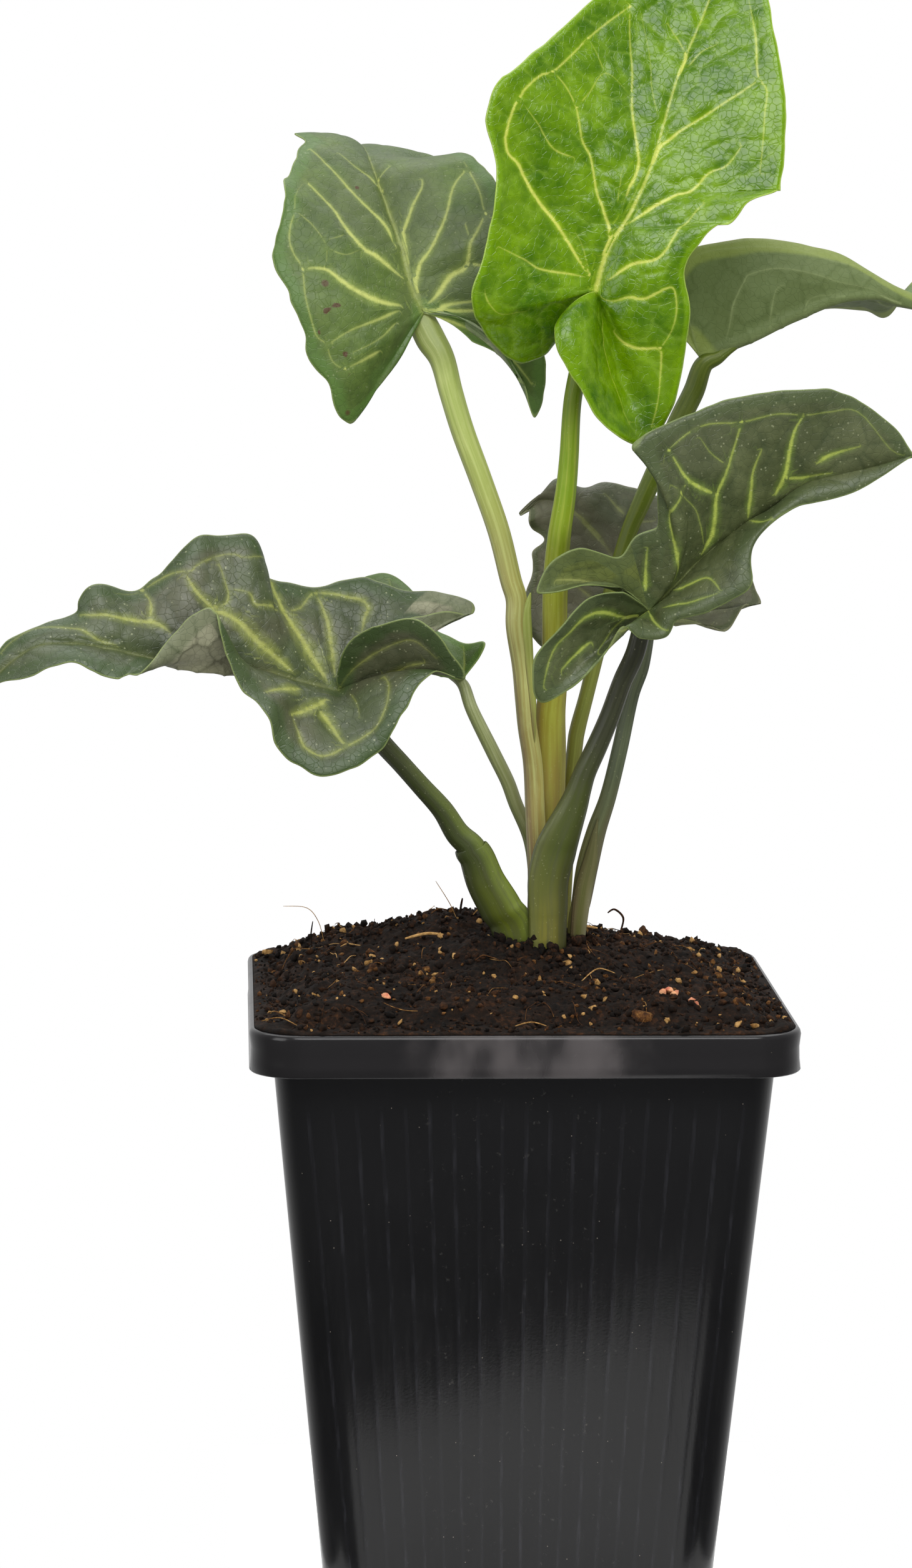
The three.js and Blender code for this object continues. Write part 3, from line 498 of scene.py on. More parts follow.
bits = []
rough_ball = lump_ball(2)
small_ball = lump_ball(1)
for _ in range(CRUMBS):
    x, y = draw.uniform(-SPILL_HALF, SPILL_HALF, 2)
    size = 0.26 + 0.75 * draw.random() ** 3
    squash = draw.uniform(0.6, 1.25, 3)
    if max(abs(x), abs(y)) + size > SPILL_HALF - 0.2 or math.hypot(x, y) > CRUMB_REACH:
        continue
    tone = draw.choice(list(CRUMB_TONES), p=list(CRUMB_TONES.values()))
    bits.append(crumb((x, y, ground(x, y) + 0.25 * size), size, squash, tone, small_ball))
for foot_x, foot_y, reach in STALK_FEET:
    for _ in range(CRUMBS_AT_A_FOOT):
        turn, size = draw.uniform(0, 2 * np.pi), draw.uniform(0.4, 1.2)
        x = foot_x + (reach + 0.5 * size + draw.uniform(0, 1)) * math.cos(turn)
        y = foot_y + (reach * 0.6 + 0.5 * size + draw.uniform(0, 1)) * math.sin(turn)
        z = ground(x, y) + draw.uniform(-0.1, 0.9)
        squash = draw.uniform(0.6, 1.25, 3)
        bits.append(crumb((x, y, z), size, squash, draw.choice([-0.1, 0.0, 0.12]), rough_ball))
make_soil("soil_crumbs", *gather(bits))

def table(text):
    """Rows of numbers; a semicolon parts two rows."""
    return [[float(number) for number in row.split()] for row in text.split(";") if row]


# Bigger bits, each at its own place: x, y, size, flatness and tone.
CHIPS = table("""
    -22.5 -6 0.75 0.6 0.95; -12.5 -5.5 0.9 0.7 1; -10.5 -10.5 0.95 0.7 1; -17 -11.5 1.1 0.45 0.9;
    -20 -2 0.7 0.6 0.9; -14.5 -29.5 0.6 0.6 0.9; -1.5 -32 0.7 0.7 0.8; 17.5 -24 0.8 0.6 0.85;
    -20.5 -39 0.8 0.5 0.95; -24 -4.5 1.3 0.5 0.8; -25 -7 1.1 0.5 0.75; 34 -41.5 1.6 0.5 0.85;
    37 -40.5 1.2 0.5 0.8; 24.5 28.5 1.8 0.6 0.35; 27 26.5 1.5 0.6 0.1; 19 -38 2.6 0.35 0.5;
    9 3.5 1.2 0.4 0.7; 12.5 5 1.1 0.4 0.75; -36 2 1 0.6 0.75; 30 -10 0.9 0.6 0.7;
    3 -22 0.8 0.6 0.7; -30 -30 0.9 0.5 0.6; 14 31 1 0.6 0.8; -26 24 1 0.6 0.8; 31 12 1.1 0.5 0.75;
    -5 34 0.9 0.5 0.8; 36 -22 0.9 0.6 0.7""")
bits = []
for x, y, size, flat, tone in CHIPS:
    squash = (0.95, 0.65, 0.8 * flat)
    bits.append(crumb((x, y, ground(x, y) + 0.25 * size), size, squash, tone - 0.1, rough_ball))


def along(rows, places):
    """Smooth (Catmull-Rom) values at places from 0 to 1 along a list of rows of numbers."""
    rows = np.asarray(rows, float)
    last = len(rows) - 1
    x = np.clip(np.asarray(places, float), 0, 1) * last
    i = np.minimum(np.floor(x).astype(int), last - 1)
    f = (x - i)[..., None]
    a, b = rows[np.maximum(i - 1, 0)], rows[i]
    c, d = rows[i + 1], rows[np.minimum(i + 2, last)]
    return b + 0.5 * f * (c - a + f * (2 * a - 5 * b + 4 * c - d + f * (3 * (b - c) + d - a)))


def thread(course, radius, tone, sides=6):
    """A straw, twig or root hair: a tube along a smooth course that thins toward its ends."""
    steps = 8 * (len(course) - 1)
    way = along(course, np.arange(steps + 1) / steps)
    heading = np.gradient(way, axis=0)
    heading /= np.linalg.norm(heading, axis=1, keepdims=True)
    across = np.cross(heading, [0.31, 0.22, 0.92])
    across /= np.linalg.norm(across, axis=1, keepdims=True)
    depth = np.cross(heading, across)
    rings = []
    for k, middle in enumerate(way):
        turn = np.arange(sides) * 2 * np.pi / sides
        thin = radius * (0.35 + 0.65 * math.sin(math.pi * (k + 0.5) / (steps + 1)) ** 0.5)
        out = np.outer(np.cos(turn), across[k]) + np.outer(np.sin(turn), depth[k])
        rings.append(middle + thin * out)
    return *skin_rings(rings), tone


# Threads that stand or arch up, each as its radius, its tone and the points it runs through; then
# short ones strewn about that lie on the ground.
STANDING = table("""
    0.28 0.8 -18.5 -1 109 -15 0 109.7 -12 -0.5 109.6;
    0.22 0.1 -8.5 10.5 110 -8.6 10.6 112.2 -8.3 10.4 114.2;
    0.07 0.7 -9 8 110 -10.5 8 113.5 -13 8 117.5;
    0.07 0.85 -32 12 106.5 -33 12 110 -35 12 112.3 -39 12 112.6;
    0.14 0.1 -34 13 105 -34.2 13 107.5 -33.9 13 109.8;
    0.25 0.85 9 3.5 109.6 11.5 4.5 110.3 14.5 4 110;
    0.12 0.8 10 -23 105.4 13 -18 106.6 16 -16.5 105.6;
    0.2 0.12 19 12 108 19.5 12 110.5 18 12 112 16.8 12 111.4;
    0.12 0.62 -42 -30 101.3 -40.5 -34 102.2 -38 -37 101.4;
    0.1 0.62 -43 -36 101 -40 -38 101.9 -37 -41 101; 0.12 0.75 -2 -41 101 0.5 -43 102 3 -42 101.2""")
STREWN = 110
STREWN_HALF = 39
THREAD_HALF = 42
for radius, tone, *course in STANDING:
    bits.append(thread(np.reshape(course, (-1, 3)), radius, tone))
for _ in range(STREWN):
    x, y = draw.uniform(-STREWN_HALF, STREWN_HALF, 2)
    length, turn = draw.uniform(1.5, 7), draw.uniform(0, 2 * np.pi)
    bend = draw.uniform(-0.8, 0.8)
    course = []
    for k in range(4):
        heading = turn + bend * k / 3
        x_k = np.clip(x + length * k / 3 * math.cos(heading), -THREAD_HALF, THREAD_HALF)
        y_k = np.clip(y + length * k / 3 * math.sin(heading), -THREAD_HALF, THREAD_HALF)
        lift = 0.3 + 0.6 * draw.random() * math.sin(math.pi * k / 3)
        course.append((x_k, y_k, ground(x_k, y_k) + lift))
    tone = draw.choice([0.2, 0.4, 0.6, 0.85], p=[0.3, 0.35, 0.25, 0.1])
    bits.append(thread(course, draw.choice([0.05, 0.08, 0.14], p=[0.55, 0.35, 0.1]), tone, 5))
make_soil("soil_litter", *gather(bits))

# Brick and clay grit: x, y and size.
PINK = table("""
    -22.5 -31.5 0.75; 23 -30 1; 24.2 -29.2 1.1; 24.9 -30.6 0.8; 27.4 -31.8 0.9; 28.3 -31.2 0.7;
    -2 -24 0.5; 2.5 -33 0.5""")


def pink_finish():
    """Clay and brick grit, from dusty pink to orange."""
    material, shader, place = new_finish("pink_grit", {"Roughness": 0.85})
    blotch = place.noise(0.8, 4.0, 0.6).band(0.35, 0.65)
    blotch.tint(paint("b5654c"), paint("d9a074")).feed(shader, "Base Color")
    bump(place, place.noise(3.0, 4.0, 0.7), 0.6, 0.3).feed(shader, "Normal")
    return material


bits = []
for x, y, size in PINK:
    middle = (x, y, ground(x, y) + 0.3 * size)
    bits.append(crumb(middle, size, (1.2, 0.9, 0.7), 1.0, rough_ball))
grit_points, grit_faces, _ = gather(bits)
make_piece("soil_grit", grit_points, grit_faces, pink_finish(), "potting_soil", "soil")

# ---- tuber ----
# The squat brown tuber that the leaves grow from. It lies in its hollow in the soil, and has a
# papery skin with rings round it.

TUBER_RADIUS = 15
TUBER_HALF_HEIGHT = 10
TUBER_MIDDLE = (4.5, 1.5, 82)
TUBER_SIDES = 72
TUBER_LEVELS = 40


def tuber_skin():
    """Brown skin, ringed and flaking, paler at the crown."""
    material, shader, place = new_finish("tuber_skin", {})
    rings = place.noise(1.0, 3.0, 0.6, (0.08, 0.08, 1.1)).band(0.4, 0.65)
    flakes = place.noise(0.35, 5.0, 0.65).band(0.45, 0.6)
    skin = (rings * 0.6 + flakes * 0.4).tint(paint("5a3f28"), paint("a07c52"))
    place.axis("Z").band(88, 92).tint(skin, paint("c9b48c")).feed(shader, "Base Color")
    (0.68 + flakes * 0.15).feed(shader, "Roughness")
    bump(place, rings + flakes, 0.6, 0.3).feed(shader, "Normal")
    return material


def tuber_rings():
    """Level rings from the tuber's foot to its crown, a little lumpy."""
    rings = []
    turn = np.arange(TUBER_SIDES) * 2 * np.pi / TUBER_SIDES
    for tilt in np.linspace(-np.pi / 2 + 0.06, np.pi / 2 - 0.06, TUBER_LEVELS):
        lump = 1 + 0.05 * np.sin(3 * turn + 2 * tilt) - 0.012 * math.sin(22 * tilt) ** 2
        radius = TUBER_RADIUS * lump * math.cos(tilt)
        x, y, z = TUBER_MIDDLE
        z += TUBER_HALF_HEIGHT * math.sin(tilt)
        ring = [x + radius * np.cos(turn), y + radius * np.sin(turn), np.full(TUBER_SIDES, z)]
        rings.append(np.column_stack(ring))
    return rings


make_piece("tuber_body", *skin_rings(tuber_rings()), tuber_skin(), "tuber_skin", "tuber")

# ---- leaves ----
# Seven leaves, each a thin arrow-shaped blade on a fleshy stalk, grown in one. Rays run from the
# midrib out to the margin; those of the two lobes all start where the stalk meets the blade.

RAYS = 300
SMALL_RAYS = 170
CELLS = 34
SMALL_CELLS = 22
BLADE = 0.42
MARGIN_BLADE = 0.16
KEEL = 0.8
VEIN_REACH = 9.0
NET_TRIES = 5000
# What most leaves share, in millimetres, shares and grades.
PLAIN_LEAF = {
    "net": 4.4, "quilt": 0.18, "wave": 0.9, "border": 3, "net_show": 0.3, "halo_show": 0.6,
    "halo_edge": 1.6, "fade": 0.4, "vein_edge": 0.5, "vein_show": 0.7, "spine_show": 0.3,
    "age": 0.3, "specks": 0.2, "scars": 0, "rough": 0.42, "shine": 0.4, "crimp": 0.9,
    "through": 0.07, "flaps": [],
}


def leaf_places(leaf, u, v):
    """Points of a blade at rays u, 0 to 1, and at v, -1 on the left margin to 1 on the right. A
    rib is a place on the midrib, then the margin's point and the ray's swell, left and right."""
    rows = along(leaf["ribs"], u)
    root = along(leaf["midrib"], np.clip(rows[..., 0], 0, 1))
    left = (v < 0)[..., None]
    edge = np.where(left, rows[..., 1:4], rows[..., 7:10])
    swell = np.where(left, rows[..., 4:7], rows[..., 10:13])
    out = np.abs(v)[..., None]
    return root * (1 - out) + edge * out + 4 * out * (1 - out) * swell


def grain_3d(points, size):
    """Smooth random lumps in space, about as wide as the given size, from -1 to 1."""
    x, y, z = points.T / size
    layer = np.floor(z)
    w = z - layer
    w = w * w * (3 - 2 * w)
    low = clods(x + 17.3 * layer, y + 5.1 * layer, 1.0)
    high = clods(x + 17.3 * (layer + 1), y + 5.1 * (layer + 1), 1.0)
    return low * (1 - w) + high * w


def far_from_line(points, normals, line, near):
    """Distance from each point to a line of points, less than 0 on its left as seen from above,
    and how far along the line that is, 0 to 1."""
    gap = np.full(len(points), 1e3)
    along_it = np.zeros(len(points))
    low, high = line.min(0) - near, line.max(0) + near
    inside = np.flatnonzero(np.all((points > low) & (points < high), axis=1))
    some, up = points[inside], normals[inside]
    for k in range(len(line) - 1):
        a, b = line[k], line[k + 1]
        part = np.clip((some - a) @ (b - a) / max((b - a) @ (b - a), 1e-9), 0, 1)
        away = np.linalg.norm(some - a - part[:, None] * (b - a), axis=1)
        side = np.where((np.cross(b - a, some - a) * up).sum(1) > 0, -1, 1)
        closer = away < np.abs(gap[inside])
        gap[inside] = np.where(closer, away * side, gap[inside])
        along_it[inside] = np.where(closer, (k + part) / (len(line) - 1), along_it[inside])
    return gap, along_it


def vein_marks(leaf, points, normals):
    """For each point the signed distance to the nearest vein's middle, that vein's width and how
    much it shows, how strongly the point lies on any vein and on the midrib alone, how close it is
    to where veins run together, and which vein is the nearest."""
    start = next(k for k, row in enumerate(leaf["ribs"]) if row[0] > 0) - 1
    first = start / (len(leaf["ribs"]) - 1)
    spine = [leaf["spine"], [(first + (1 - first) * k / 10, 0.0) for k in range(11)]]
    nearest = np.full(len(points), 1e3)
    second = np.full(len(points), 1e3)
    side = np.full(len(points), VEIN_REACH)
    width = np.full(len(points), 0.3)
    show = np.ones(len(points))
    which = np.zeros(len(points), int)
    ridge = np.zeros(len(points))
    keel = np.zeros(len(points))
    for number, ((wide, narrow), course) in enumerate([spine, *leaf["veins"]]):
        way = along(course, np.arange(41) / 40)
        line = leaf_places(leaf, way[:, 0], way[:, 1])
        gap, part = far_from_line(points, normals, line, VEIN_REACH)
        here = wide + (narrow - wide) * part
        if course is not spine[1]:
            here = here * (0.3 + 0.7 * np.clip(part / 0.2, 0, 1))
        away = np.abs(gap) - 0.4 * here
        closer = away < nearest
        second = np.where(closer, nearest, np.minimum(second, away))
        nearest = np.where(closer, away, nearest)
        past_end = (part <= 0) | (part >= 1)
        beside = np.clip(np.where(past_end, np.abs(gap), gap), -VEIN_REACH, VEIN_REACH)
        side = np.where(closer, beside, side)
        which = np.where(closer, number, which)
        width = np.where(closer, here, width)
        show = np.where(closer, leaf["spine_show"] if course is spine[1] else 1.0, show)
        on_it = np.exp(-((gap / (0.3 * here + 0.28)) ** 2)) * np.minimum(1, here)
        ridge = np.maximum(ridge, on_it)
        if course is spine[1]:
            keel = np.exp(-((gap / 0.9) ** 2)) * np.clip(2 * (1 - part), 0, 1)
    return side, width, show, ridge, keel, np.clip(1 - second / 0.6, 0, 1), which


def net_marks(points, size, seed):
    """The net of small veins: nearness to the border between cells, and each cell's pillow."""
    pick = np.random.default_rng(seed)
    seeds = np.empty((0, 3))
    for point in points[pick.permutation(len(points))[:NET_TRIES]]:
        if len(seeds) == 0 or np.min(np.linalg.norm(seeds - point, axis=1)) > size:
            seeds = np.vstack([seeds, point])
    shift = np.column_stack([grain_3d(points + k, size) for k in (0, 31, 57)])
    wobble = points + 0.35 * size * shift
    away = np.sqrt(((wobble[:, None, :] - seeds[None, :, :]) ** 2).sum(2, dtype=np.float32))
    two = np.partition(away, 1, axis=1)[:, :2]
    border = two[:, 1] - two[:, 0]
    return np.exp(-((border / 0.42) ** 2)), 1 - np.exp(-border / (0.4 * size))


def even_rays(leaf, rays):
    """Places of the rays, spaced evenly along the two margins rather than from rib row to row."""
    u = np.linspace(0, 1, 1500)
    walk = sum(
        np.linalg.norm(np.diff(leaf_places(leaf, u, np.full(1500, v)), axis=0), axis=1)
        for v in (-0.9, 0.9)
    )
    gone = np.concatenate([[0], np.cumsum(walk + 0.15 * walk.mean())])
    return np.interp(np.arange(rays + 1) / rays, gone / gone[-1], u)


def blade_grid(leaf, rays, cells):
    """The middle surface as a grid of points, with those that meet at one place made one, each
    point's distance to the margin, and its ray u and place v on the ray."""
    across = np.arange(-cells, cells + 1) / cells
    across = np.sign(across) * np.abs(across) ** 1.15
    u, v = np.meshgrid(even_rays(leaf, rays), across, indexing="ij")
    grid = leaf_places(leaf, u.ravel(), v.ravel()).reshape(*u.shape, 3)
    rim = np.empty(u.shape)
    for side in (0, 1):
        margin = grid[:, -side]
        inner = leaf_places(leaf, u[:, 0], np.full(len(u), 2 * side - 1) * 0.9)
        reach = np.linalg.norm(inner[:, None] - margin[None], axis=2).min(1) / 0.1
        half = slice(cells, None) if side else slice(0, cells + 1)
        rim[:, half] = (1 - np.abs(v[:, half])) * np.maximum(reach, 0.5)[:, None]
        sinus = leaf_places(leaf, np.zeros(40), np.linspace(0, 2 * side - 1, 40))
        away = np.sqrt(((grid[:, half, None] - sinus) ** 2).sum(3).min(2))
        rim[:, half] = np.minimum(rim[:, half], away)
    points = grid.reshape(-1, 3)
    _, first, same = np.unique(points.round(3), axis=0, return_index=True, return_inverse=True)
    same = same.ravel().reshape(u.shape)
    a, b = same[:-1, :-1].ravel(), same[:-1, 1:].ravel()
    c, d = same[1:, 1:].ravel(), same[1:, :-1].ravel()
    triangles = np.concatenate([np.stack([a, b, c], 1), np.stack([a, c, d], 1)])
    whole = (triangles[:, 0] != triangles[:, 1]) & (triangles[:, 1] != triangles[:, 2])
    triangles = triangles[whole & (triangles[:, 2] != triangles[:, 0])]
    return points[first], triangles, rim.ravel()[first], u.ravel()[first], v.ravel()[first]


def facing(points, triangles):
    """The direction that the surface faces at each point."""
    a, b, c = (points[triangles[:, k]] for k in range(3))
    face = np.cross(b - a, c - a)
    sums = np.zeros_like(points)
    for k in range(3):
        np.add.at(sums, triangles[:, k], face)
    return sums / np.maximum(np.linalg.norm(sums, axis=1, keepdims=True), 1e-12)


def margin_edges(triangles):
    """Edges that only one triangle has, in the direction that the triangle runs."""
    edges = np.concatenate([triangles[:, [0, 1]], triangles[:, [1, 2]], triangles[:, [2, 0]]])
    code = edges[:, 0] * 10**7 + edges[:, 1]
    back = edges[:, 1] * 10**7 + edges[:, 0]
    return edges[~np.isin(code, back)]


def mesh_pitch(points, triangles):
    """How long the edges at each point are."""
    length = np.zeros(len(points))
    count = np.zeros(len(points))
    for k in range(3):
        a, b = triangles[:, k], triangles[:, (k + 1) % 3]
        edge = np.linalg.norm(points[a] - points[b], axis=1)
        for end in (a, b):
            np.add.at(length, end, edge)
            np.add.at(count, end, 1)
    return length / np.maximum(count, 1)


def blade_mesh(leaf, rays, cells, seed):
    """The blade: both faces and the margin, with veins sunk into the upper face and standing out
    under it, cells that pillow up between them, and a margin that waves."""
    middle, triangles, rim, u, v = blade_grid(leaf, rays, cells)
    outward = leaf_places(leaf, u, np.sign(v)) - leaf_places(leaf, u, 0.92 * np.sign(v))
    outward /= np.maximum(np.linalg.norm(outward, axis=1, keepdims=True), 0.3)
    nibble = 0.55 * leaf["wave"] * np.exp(-rim / 1.4) * (grain_3d(middle, 2.6) - 0.3)
    middle = middle + outward * nibble[:, None]
    normal = facing(middle, triangles)
    edges = margin_edges(triangles)
    side, width, show, ridge, keel, knot, which = vein_marks(leaf, middle, normal)
    turns = np.ptp(which[triangles], axis=1) > 0
    mixed = np.zeros(len(middle))
    mixed[triangles[turns].ravel()] = 1.0
    net, pillow = net_marks(middle, leaf["net"], seed)
    inward = 1 - np.exp(-rim / 2.5)
    valley = np.exp(-((side / (1.1 * width + 0.6)) ** 2)) * np.minimum(1, width)
    wave = np.exp(-rim / 3.5) * grain_3d(middle, 6.5) * leaf["wave"]
    roll = 0.35 * grain_3d(middle + 50, 13)
    crimp = 0.16 * grain_3d(middle, 1.7) * leaf["quilt"]
    rise = (pillow - 1.1 * valley + crimp) * inward * leaf["quilt"] + wave + roll
    half = MARGIN_BLADE / 2 + (BLADE - MARGIN_BLADE) / 2 * (1 - np.exp(-rim / 0.8))
    upper = middle + normal * (rise + half - 0.12 * ridge * inward)[:, None]
    below = rise - half - (0.3 * ridge + 0.08 * net + KEEL * keel) * inward
    lower = middle + normal * below[:, None]
    count = len(middle)
    turned = triangles[:, ::-1] + count
    hem = np.stack([edges[:, 1], edges[:, 0], edges[:, 0] + count, edges[:, 1] + count], 1)
    faces = triangles.tolist() + turned.tolist() + hem.tolist()
    guard = np.maximum(1.05 * mesh_pitch(middle, triangles), 0.7 * width)
    spot = np.zeros(count)
    for spot_u, spot_v, size in leaf["spots"]:
        place = leaf_places(leaf, np.array([spot_u]), np.array([spot_v]))
        away = np.linalg.norm(middle - place, axis=1)
        spot = np.maximum(spot, np.exp(-((away / size) ** 2)))
    marks = {"side": side, "near": np.abs(side) / guard, "width": width, "show": show}
    marks.update({"net": net, "rim": rim, "spot": spot, "knot": knot, "mixed": mixed})
    marks = {key: np.concatenate([values, values]) for key, values in marks.items()}
    flap = np.zeros(count)
    for sign, low, high, inner in leaf["flaps"]:
        flap = np.where((u > low) & (u < high) & (v * sign > inner), 1.0, flap)
    marks["under"] = np.concatenate([flap, 1 - flap])
    return np.concatenate([upper, lower]), faces, marks


def leaf_finish(name, leaf):
    """A leaf blade: mottled green with pale veins and a fine net, a paler dull underside, a thin
    pale margin line, and light coming through."""
    colours = {key: paint(code) for key, code in leaf["colours"].items()}
    material, shader, place = new_finish(name, {"Specular IOR Level": leaf["shine"]})
    side, near, width = mark(place, "side"), mark(place, "near"), mark(place, "width")
    net, rim, under = mark(place, "net"), mark(place, "rim"), mark(place, "under")
    might = width.band(-0.1, 1.3) * mark(place, "show")
    ragged = place.noise(1.3, 4.0, 0.7)
    off = abs(side) / width + ragged * 0.5 - 0.25
    knot = mark(place, "knot").band(0.55, 0.95)
    alone = mark(place, "mixed").band(0.95, 0.6)
    vein = off.band(leaf["vein_edge"], 0.05) * near.band(1.45, 1.0) * might * alone
    vein = vein + (1 - vein) * knot * 0.85 * mark(place, "show")
    halo = off.band(leaf["halo_edge"], 0.1) * near.band(3.5, 1.5) * might
    clouds = place.noise(0.09, 3.0, 0.55).band(0.36, 0.64)
    mottle = place.noise(0.55, 4.0, 0.6).band(0.35, 0.7)
    body = (clouds * 0.6 + mottle * 0.4).tint(colours["deep"], colours["fresh"])
    worn = place.noise(0.05, 2.0, 0.5).band(0.45, 0.6)
    body = (worn * leaf["age"]).tint(body, colours["tired"])
    body = (rim.band(leaf["border"], leaf["border"] * 0.5) * 0.7).tint(body, colours["border"])
    small = place.cells(0.85, feature="DISTANCE_TO_EDGE").band(0.07, 0.0)
    body = (small * 0.1 + net * leaf["net_show"]).tint(body, colours["net"])
    patchy = place.noise(0.6, 4.0, 0.7).band(0.3, 0.6)
    body = (halo * (0.3 + patchy * 0.7) * leaf["halo_show"]).tint(body, colours["halo"])
    faded = 1 - place.noise(0.7, 3.0, 0.6).band(0.5, 0.75) * leaf["fade"]
    body = (vein * leaf["vein_show"] * faded).tint(body, colours["vein"])
    dots = place.cells(1.3).band(0.28, 0.1) * place.cells(1.3, "Color").band(0.55, 0.8)
    body = (dots * leaf["specks"]).tint(body, paint("a4a884"))
    scars = place.cells(0.11).band(0.09, 0.05) * place.cells(0.11, "Color").band(0.62, 0.7)
    spots = (mark(place, "spot") + place.noise(1.6, 3.0, 0.6) * 0.5).band(0.85, 1.0)
    body = (scars * leaf["scars"] + spots * 0.9).tint(body, paint("4a3020"))
    back = (clouds * 0.5 + mottle * 0.3).tint(colours["under"], colours["under_deep"])
    back = (net * 0.55 + small * 0.25).tint(back, colours["under_net"])
    back = (rim.band(leaf["border"], leaf["border"] * 0.7) * 0.5).tint(back, colours["border"])
    back = (vein * 0.7 + halo * 0.3).tint(back, colours["under_vein"])
    both = under.tint(body, back)
    (rim.band(0.3, 0.06) * 0.55).tint(both, colours["margin"]).feed(shader, "Base Color")
    gloss = leaf["rough"] + mottle * 0.08 + vein * 0.1 + under * 0.18
    gloss.feed(shader, "Roughness")
    crimp = place.noise(0.6, 2.0, 0.45) * leaf["crimp"]
    fine = place.noise(2.2, 2.0, 0.5) * 0.2 - small * 0.4 + crimp
    bump(place, fine, 0.6, 0.12).feed(shader, "Normal")
    glow = place.node("BsdfTranslucent", {}, {"Color": colours["glow"]})
    skin = Flow(place.tree, shader.outputs[0])
    join = place.node("MixShader", {}, {"Fac": leaf["through"], 1: skin, 2: glow})
    join.feed(place.tree.nodes["Material Output"], "Surface")
    return material


STALK_SIDES = 36
SHEATH_SIDES = 20


def stalk_mesh(stations, seed, sides=STALK_SIDES):
    """A leaf stalk: a loft of ovals with fine ridges running up it, and marks for its skin."""
    steps = 12 * (len(stations) - 1)
    here = along(stations, np.arange(steps + 1) / steps)
    ahead = along(stations, (np.arange(steps + 1) + 0.5) / steps)[:, :3]
    behind = along(stations, (np.arange(steps + 1) - 0.5) / steps)[:, :3]
    course = (ahead - behind) / np.linalg.norm(ahead - behind, axis=1, keepdims=True)
    across = np.array([1.0, 0, 0]) - course * course[:, :1]
    across /= np.linalg.norm(across, axis=1, keepdims=True)
    depth = np.cross(course, across)
    turn = np.arange(sides) * 2 * np.pi / sides
    ridges = 1 + 0.022 * np.sin(9 * turn + seed) + 0.015 * np.sin(17 * turn + 2 * seed)
    rings = []
    for k in range(steps + 1):
        wide = np.outer(np.cos(turn) * here[k, 3] * ridges, across[k])
        deep = np.outer(np.sin(turn) * here[k, 4] * ridges, depth[k])
        rings.append(here[k, :3] + wide + deep)
    points, faces = skin_rings(rings)
    walk = np.linalg.norm(np.diff(here[:, :3], axis=0), axis=1).cumsum()
    gone = np.repeat(np.concatenate([[0], walk]), sides)
    around = {"across": np.cos(turn), "round": np.sin(turn), "gone": gone}
    return points, faces, {key: np.resize(value, len(points)) for key, value in around.items()}


def stalk_finish(name, colours, top, bottom, rough):
    """A stalk's skin: fine streaks up its length over a change of colour from its foot upward, the
    sheath's two edges toned differently, and painted shade just under the blade. The colours are
    those of foot, middle, head, streak, left edge and right edge."""
    foot, middle, head, streak, left, right = (paint(code) for code in colours.split())
    material, shader, place = new_finish(name, {"Specular IOR Level": 0.45})
    height = place.axis("Z")
    uneven = height + place.noise(0.12, 2.0, 0.5) * 16 - 8
    halfway = (top + bottom) / 2
    body = uneven.band(bottom, halfway).tint(foot, middle)
    body = uneven.band(halfway, top).tint(body, head)
    across, low = mark(place, "across"), uneven.band(top, bottom + 8)
    body = (across.band(-0.1, -0.85) * low * 0.8).tint(body, left)
    body = (across.band(0.1, 0.85) * low * 0.8).tint(body, right)
    flat = {0: across, 1: mark(place, "round"), 2: mark(place, "gone") * 0.014}
    lines = place.node("CombineXYZ", {}, flat).noise(3.4, 5.0, 0.6).band(0.4, 0.66)
    blotch = place.noise(0.5, 3.0, 0.6, (1, 1, 0.35)).band(0.5, 0.75)
    body = (lines * 0.45 + blotch * 0.15).tint(body, streak)
    # Painted shade: the stalk darkens just under the blade, which shades it.
    body = body * (1 - height.band(top + 2, top + 10) * 0.35)
    dots = place.cells(1.9).band(0.25, 0.1) * place.cells(1.9, "Color").band(0.5, 0.8)
    body = (dots * 0.22).tint(body, paint("b8b890"))
    dust = place.noise(1.4, 4.0, 0.7).band(0.66, 0.74) * height.band(135, 108)
    (dust * 0.5).tint(body, paint("3a2a1c")).feed(shader, "Base Color")
    (rough + blotch * 0.1).feed(shader, "Roughness")
    bump(place, lines + place.noise(2.5, 3.0, 0.6) * 0.4, 0.35, 0.08).feed(shader, "Normal")
    return material


def stalk_with_tip(leaf):
    """The stalk's stations with a tip that tapers into the underside of the midrib."""
    first = next(k for k, row in enumerate(leaf["ribs"]) if row[0] > 0) / (len(leaf["ribs"]) - 1)
    left, right = leaf_places(leaf, np.full(2, first + 0.05), np.array([-0.15, 0.15]))
    spine = np.array(leaf["midrib"][:3])
    up = np.cross(right - left, spine[2] - spine[0])
    up /= np.linalg.norm(up)
    free = [row for row in leaf["stalk"][:-1] if np.linalg.norm(spine[0] - row[:3]) > 4]
    wide, deep = free[-1][3:]
    sunk = 0.25 + 0.8 * leaf["quilt"]
    tip = [
        (*(spine[0] - (0.8 * deep + 0.4 * sunk) * up), 0.9 * wide, 0.85 * deep),
        (*(spine[0] * 0.5 + spine[1] * 0.5 - (0.6 * deep + sunk) * up), 0.65 * wide, 0.6 * deep),
        (*(spine[1] - (0.35 * deep + sunk) * up), 0.4 * wide, 0.35 * deep),
        (*(spine[2] - (sunk + 0.1) * up), 0.12, 0.12),
    ]
    return [*free, *tip]


